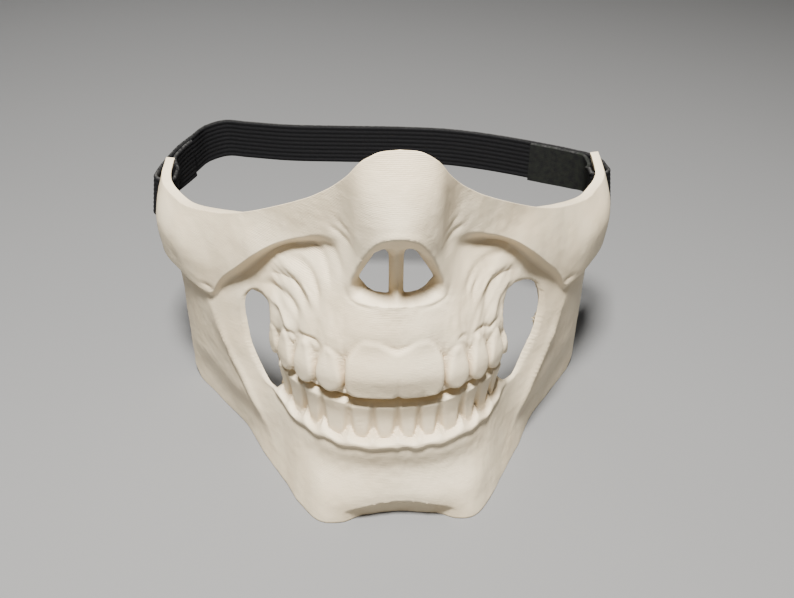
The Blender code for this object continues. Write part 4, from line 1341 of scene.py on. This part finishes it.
        holes = [face for face in bm.faces if not kept[cell(face.calc_center_median())]]
        bmesh.ops.delete(bm, geom=holes, context="FACES")
        bmesh.ops.solidify(bm, geom=bm.faces[:], thickness=0.1)
        middle = sum(vert.co.z for vert in bm.verts) / len(bm.verts)
        half_cell = Vector((1 / (columns - 1), 1 / (rows - 1), 0))
        rim, self.lining = set(), []
        for vert in bm.verts:
            row, column = crossing = cell(vert.co + half_cell)
            from_edge = min(row, rows - 1 - row, column, columns - 1 - column)
            if from_edge == 0:
                rim.add(vert)
            if vert.co.z > middle:
                vert.co = outer[crossing]
                vert[tone] = hollow[crossing]
            else:
                vert.co = inner[crossing]
                if from_edge >= self.lining_margin and from_hole[crossing] > self.hole_margin:
                    self.lining.append(vert.index)
        bmesh.ops.recalc_face_normals(bm, faces=bm.faces[:])
        sharp = [edge for edge in bm.edges if edge.verts[0] in rim and edge.verts[1] in rim
                 and edge.calc_face_angle(0) > self.crisp_rim]
        bmesh.ops.bevel(bm, geom=sharp, offset=self.rim_bevel, segments=3, profile=0.5,
                        affect="EDGES", clamp_overlap=True, material=-1)
        return finished_mesh(bm, "mask_shell")

    def build(self) -> bpy.types.Object:
        """Make the shell, with fewer faces on its plain inner wall."""
        piece = add_piece("mask_face", self.mesh(), self.finish.build())
        group = piece.vertex_groups.new(name="lining")
        group.add(self.lining, 1.0, "REPLACE")
        thin = piece.modifiers.new("lining", "DECIMATE")
        thin.ratio = self.lining_share
        thin.vertex_group = "lining"
        return piece


@dataclass
class Strap:
    """The elastic strap: a ribbed band through both ear lugs, folded back at its ends."""

    shell: MaskShell
    finish: BlackElastic = field(default_factory=BlackElastic)
    thickness: float = 0.0015
    gap: float = 0.0004
    fold_right: float = 0.036
    fold_left: float = 0.030
    ribs: int = 9
    rib_depth: float = 0.00016
    matted_dent: float = 0.00006
    edge_bulge: float = 0.00012
    turn_cut: float = 0.0056
    step: float = 0.0010

    def __post_init__(self) -> None:
        """Find the lug bar that the strap turns round."""
        shell = self.shell
        slot_back, end = shell.slot_angles()[1], float(shell.back_angle(shell.lug_middle))
        middle, reach = (slot_back + end) / 2, shell.strap_width / 2

        def spot(angle: float, height: float, side: int) -> np.ndarray:
            """Point of the lug's outer (0) or inner (1) wall."""
            return SIZES.place(np.array(angle), height, np.array(shell.radii(angle, height)[side]))

        level = shell.lug_middle
        self.centre = (spot(middle, level, 0) + spot(middle, level, 1)) / 2
        along = spot(end, level, 0) - spot(slot_back, level, 0)
        self.along = along / np.linalg.norm(along)
        up = spot(middle, level + reach, 0) - spot(middle, level - reach, 0)
        up -= self.along * (up @ self.along)
        self.up = up / np.linalg.norm(up)
        self.out = np.cross(self.along, self.up)
        proud = [[(spot(angle, level + rise, side) - self.centre) @ self.out
                  for angle in (slot_back, middle, end) for rise in (-reach, 0, reach)] for side in (0, 1)]
        stand_off = self.gap + self.thickness / 2
        self.outside, self.inside = max(proud[0]) + stand_off, min(proud[1]) - stand_off

    def at(self, along: float, out: float) -> np.ndarray:
        """A point beside the lug's bar."""
        return self.centre + self.along * along + self.out * out

    def even(self, points: Any) -> np.ndarray:
        """Points at an even spacing on a smooth curve through the given points."""
        points = np.asarray(points, float)
        length = run_along(points)
        fine = np.linspace(0, length[-1], 40 * len(points))
        curve = curves_through(length, points, fine)
        run = run_along(curve)
        spaced = np.linspace(0, run[-1], max(2, round(run[-1] / self.step)) + 1)
        return np.stack([np.interp(spaced, run, column) for column in curve.T], -1)

    def turn(self) -> list[np.ndarray]:
        """The way through the slot, from inside the bar to outside it."""
        middle, radius = (self.outside + self.inside) / 2, (self.outside - self.inside) / 2
        start = -self.shell.lug_bar / 2 + 0.3 * radius
        return [self.at(start - radius * math.cos(bend), middle + radius * math.sin(bend))
                for bend in np.linspace(-math.pi / 2, math.pi / 2, 15)]

    def loop(self) -> np.ndarray:
        """Round the back of the head, from the +X bar to the -X bar."""
        bar = self.shell.lug_bar
        start = [self.at(along, self.outside) for along in (-bar / 2, 0, bar / 2)]
        sideways, back, height = np.array(STRAP_LOOP, float).T / 100
        lug_end = SIZES.front_y + SIZES.depth
        middle = np.stack([sideways * SIZES.half_width,
                           lug_end + back * (SIZES.strap_reach - self.thickness / 2),
                           height * SIZES.height], -1)
        end = [spot * (-1, 1, 1) for spot in reversed(start)]
        return self.even(start + list(middle) + end)

    def folded(self, route: np.ndarray, length: float, side: Side) -> np.ndarray:
        """The end that is folded back inside the band, from its tip to the bar."""
        run = run_along(route)
        kept = route[run < length]
        ahead = np.gradient(kept, axis=0)
        inward = side.value * np.stack([-ahead[:, 1], ahead[:, 0], np.zeros(len(kept))], -1)
        inward /= np.linalg.norm(inward, axis=1)[:, None]
        near, wide, bar = self.thickness + self.gap, self.outside - self.inside, self.shell.lug_bar
        apart = near + (wide - near) * (1 - smooth_step((run[:len(kept)] - bar) / (2 * bar)))
        return (kept + inward * apart[:, None])[::-1]

    def route(self) -> tuple[np.ndarray, int, int]:
        """Middle of each section from one folded end to the other.

        Returns:
            The points, and how many of them belong to the first and the last fold.
        """
        loop, turn = self.loop(), self.turn()
        first = self.folded(loop, self.fold_right, Side.PLUS)
        last = self.folded(loop[::-1], self.fold_left, Side.MINUS)[::-1]
        left_turn = [spot * (-1, 1, 1) for spot in reversed(turn)]
        cut = round(self.turn_cut / self.step)
        route = np.array([*first[:-cut], *turn, *loop[cut:-cut], *left_turn, *last[cut:]])
        return route, len(first) - cut, len(last) - cut

    def profile(self) -> np.ndarray:
        """Section of the band: across, through and how near the edge, in turn."""
        across, reach = np.linspace(-1, 1, 6 * self.ribs + 1), self.shell.strap_width / 2
        wave = np.abs(np.cos(math.pi * self.ribs * (across + 1) / 2))
        edge = ease(np.abs(across), 0.93, 0.07)
        half = self.thickness / 2 - self.rib_depth * wave ** 3 - 0.45 * self.thickness / 2 * edge
        front = np.stack([across * reach, half, edge], -1)
        back = front[::-1] * (1, -1, 1)
        tip = np.array([[reach + self.edge_bulge, 0, 1]])
        return np.concatenate([front, tip, back, tip * (-1, 1, 1), front[:1]])

    def directions(self, route: np.ndarray) -> tuple[np.ndarray, np.ndarray]:
        """Upward and outward direction of each section."""
        ahead = np.gradient(route, axis=0)
        from_bar = np.minimum(*(np.linalg.norm(route - self.centre * (side, 1, 1), axis=1)
                                for side in (1, -1)))
        bar = self.shell.lug_bar
        lean = 1 - smooth_step((from_bar - bar) / (3 * bar))
        tilt = self.up[0] / self.up[2]
        up = np.stack([tilt * lean * np.sign(route[:, 0]), 0 * lean, np.ones(len(route))], -1)
        up -= ahead * (np.sum(up * ahead, 1) / np.sum(ahead * ahead, 1))[:, None]
        up /= np.linalg.norm(up, axis=1)[:, None]
        across = np.cross(ahead, up)
        return up, across / np.linalg.norm(across, axis=1)[:, None]

    def mesh(self) -> bpy.types.Mesh:
        """Drape a grid round and along the band, close it and lay its UV map."""
        route, first, last = self.route()
        up, out = self.directions(route)
        profile = self.profile()
        sections, ring = len(route), len(profile)
        run = run_along(route)
        bm = bmesh.new()
        edge, matted = bm.verts.layers.float.new("edge"), bm.verts.layers.float.new("matted")
        band = bm.loops.layers.uv.new("band")
        bmesh.ops.create_grid(bm, x_segments=ring - 1, y_segments=sections - 1, size=1)
        crossing = {vert: tuple(round((place + 1) / 2 * (count - 1))
                                for place, count in zip(vert.co, (ring, sections))) for vert in bm.verts}
        for face in bm.faces:
            for loop in face.loops:
                i, k = crossing[loop.vert]
                loop[band].uv = (run[k], profile[i, 0] + 0.02 * (i >= ring / 2))
        for vert, (i, k) in crossing.items():
            across, through, near_edge = profile[i]
            folded = smooth_step((first - k) / 3)
            if folded > 0 and through * folded:
                flat = self.thickness / 2 - self.matted_dent
                through += folded * (math.copysign(flat, through) - through) * (near_edge < 0.5)
            vert.co = route[k] + up[k] * across + out[k] * through
            vert[edge] = near_edge
            vert[matted] = folded
        bmesh.ops.remove_doubles(bm, verts=bm.verts[:], dist=0.00001)
        bmesh.ops.holes_fill(bm, edges=[e for e in bm.edges if e.is_boundary], sides=0)
        bmesh.ops.recalc_face_normals(bm, faces=bm.faces[:])
        return finished_mesh(bm, "strap", 50)

    def build(self) -> bpy.types.Object:
        """Make the strap."""
        return add_piece("elastic_strap", self.mesh(), self.finish.build())


@dataclass
class Studio:
    """Floor, soft lights and the camera at the photograph's angle."""

    floor: PaleFloor = field(default_factory=PaleFloor)
    azimuth: float = -3.60
    elevation: float = 33.40
    roll: float = 0.73
    distance: float = 0.2673
    floor_drop: float = 0.00005
    light_target: tuple[float, float, float] = (0, 0, 0.05)
    sky: tuple[float, float, float, float] = (0.80, 0.82, 0.85, 1)
    sky_power: float = 0.02
    target: tuple[float, float, float] = (0.00150, -0.02875, 0.05644)
    focal_px: float = 850.0
    image_width: int = 794
    # name, place, size, power and colour
    lights: tuple = (
        ("key", (-0.05, -0.27, 0.72), 0.14, 20.0, (1.0, 0.985, 0.955)),
        ("fill", (0.50, -0.55, 0.30), 0.50, 0.15, (0.97, 0.985, 1.0)),
        ("back", (-0.25, 0.60, 0.45), 0.40, 1.0, (1.0, 1.0, 1.0)),
    )

    def build_floor(self) -> bpy.types.Object:
        """The plane that the mask stands on."""
        bm = bmesh.new()
        bmesh.ops.create_grid(bm, x_segments=4, y_segments=4, size=4.0)
        floor = add_piece("floor", finished_mesh(bm, "floor"), self.floor.build())
        floor.location.z = -self.floor_drop
        return floor

    def build_lights(self) -> None:
        """Soft boxes above, beside and behind the mask, and a dim sky."""
        for name, place, size, power, colour in self.lights:
            light = bpy.data.lights.new(name, "AREA")
            light.energy, light.size, light.color = power, size, colour
            lamp = bpy.data.objects.new(name, light)
            lamp.location = place
            way = Vector(self.light_target) - Vector(place)
            lamp.rotation_euler = way.to_track_quat("-Z", "Y").to_euler()
            bpy.context.scene.collection.objects.link(lamp)
        world = bpy.data.worlds.new("studio")
        world.use_nodes = True
        sky = world.node_tree.nodes["Background"]
        sky.inputs["Color"].default_value = self.sky
        sky.inputs["Strength"].default_value = self.sky_power
        bpy.context.scene.world = world

    def build_camera(self) -> bpy.types.Object:
        """The camera, placed by angles round the mask."""
        turn, rise = math.radians(self.azimuth), math.radians(self.elevation)
        back = Vector((math.sin(turn) * math.cos(rise), -math.cos(turn) * math.cos(rise), math.sin(rise)))
        right = (-back).cross(Vector((0, 0, 1))).normalized()
        upward = right.cross(-back)
        cosine, sine = math.cos(math.radians(self.roll)), math.sin(math.radians(self.roll))
        axes = (cosine * right + sine * upward, cosine * upward - sine * right, back)
        lens = bpy.data.cameras.new("camera")
        lens.sensor_width = 36.0
        lens.lens = self.focal_px / self.image_width * lens.sensor_width
        lens.clip_start = 0.01
        camera = bpy.data.objects.new("camera", lens)
        place = Vector(self.target) + back * self.distance
        camera.matrix_world = Matrix.Translation(place) @ Matrix(axes).transposed().to_4x4()
        bpy.context.scene.collection.objects.link(camera)
        bpy.context.scene.camera = camera
        return camera


def dress(piece: bpy.types.Object, node: str) -> None:
    """Let a piece stand for a CAD node, ride on the mask and report it.

    Args:
        piece: The finished piece.
        node: CAD node that it replaces.
    """
    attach(piece, "root")
    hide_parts(node)
    LOG.info("%s: %d vertices, stands for %s", piece.name, len(piece.data.vertices), node)


def main() -> None:
    """Build the studio, the mask and its strap."""
    logging.basicConfig(level=logging.INFO, format="%(name)s: %(message)s")
    studio = Studio()
    studio.build_camera()
    studio.build_floor()
    studio.build_lights()
    shell = MaskShell()
    dress(shell.build(), "mask_shell")
    dress(Strap(shell).build(), "strap")


if __name__ == "__main__":
    main()
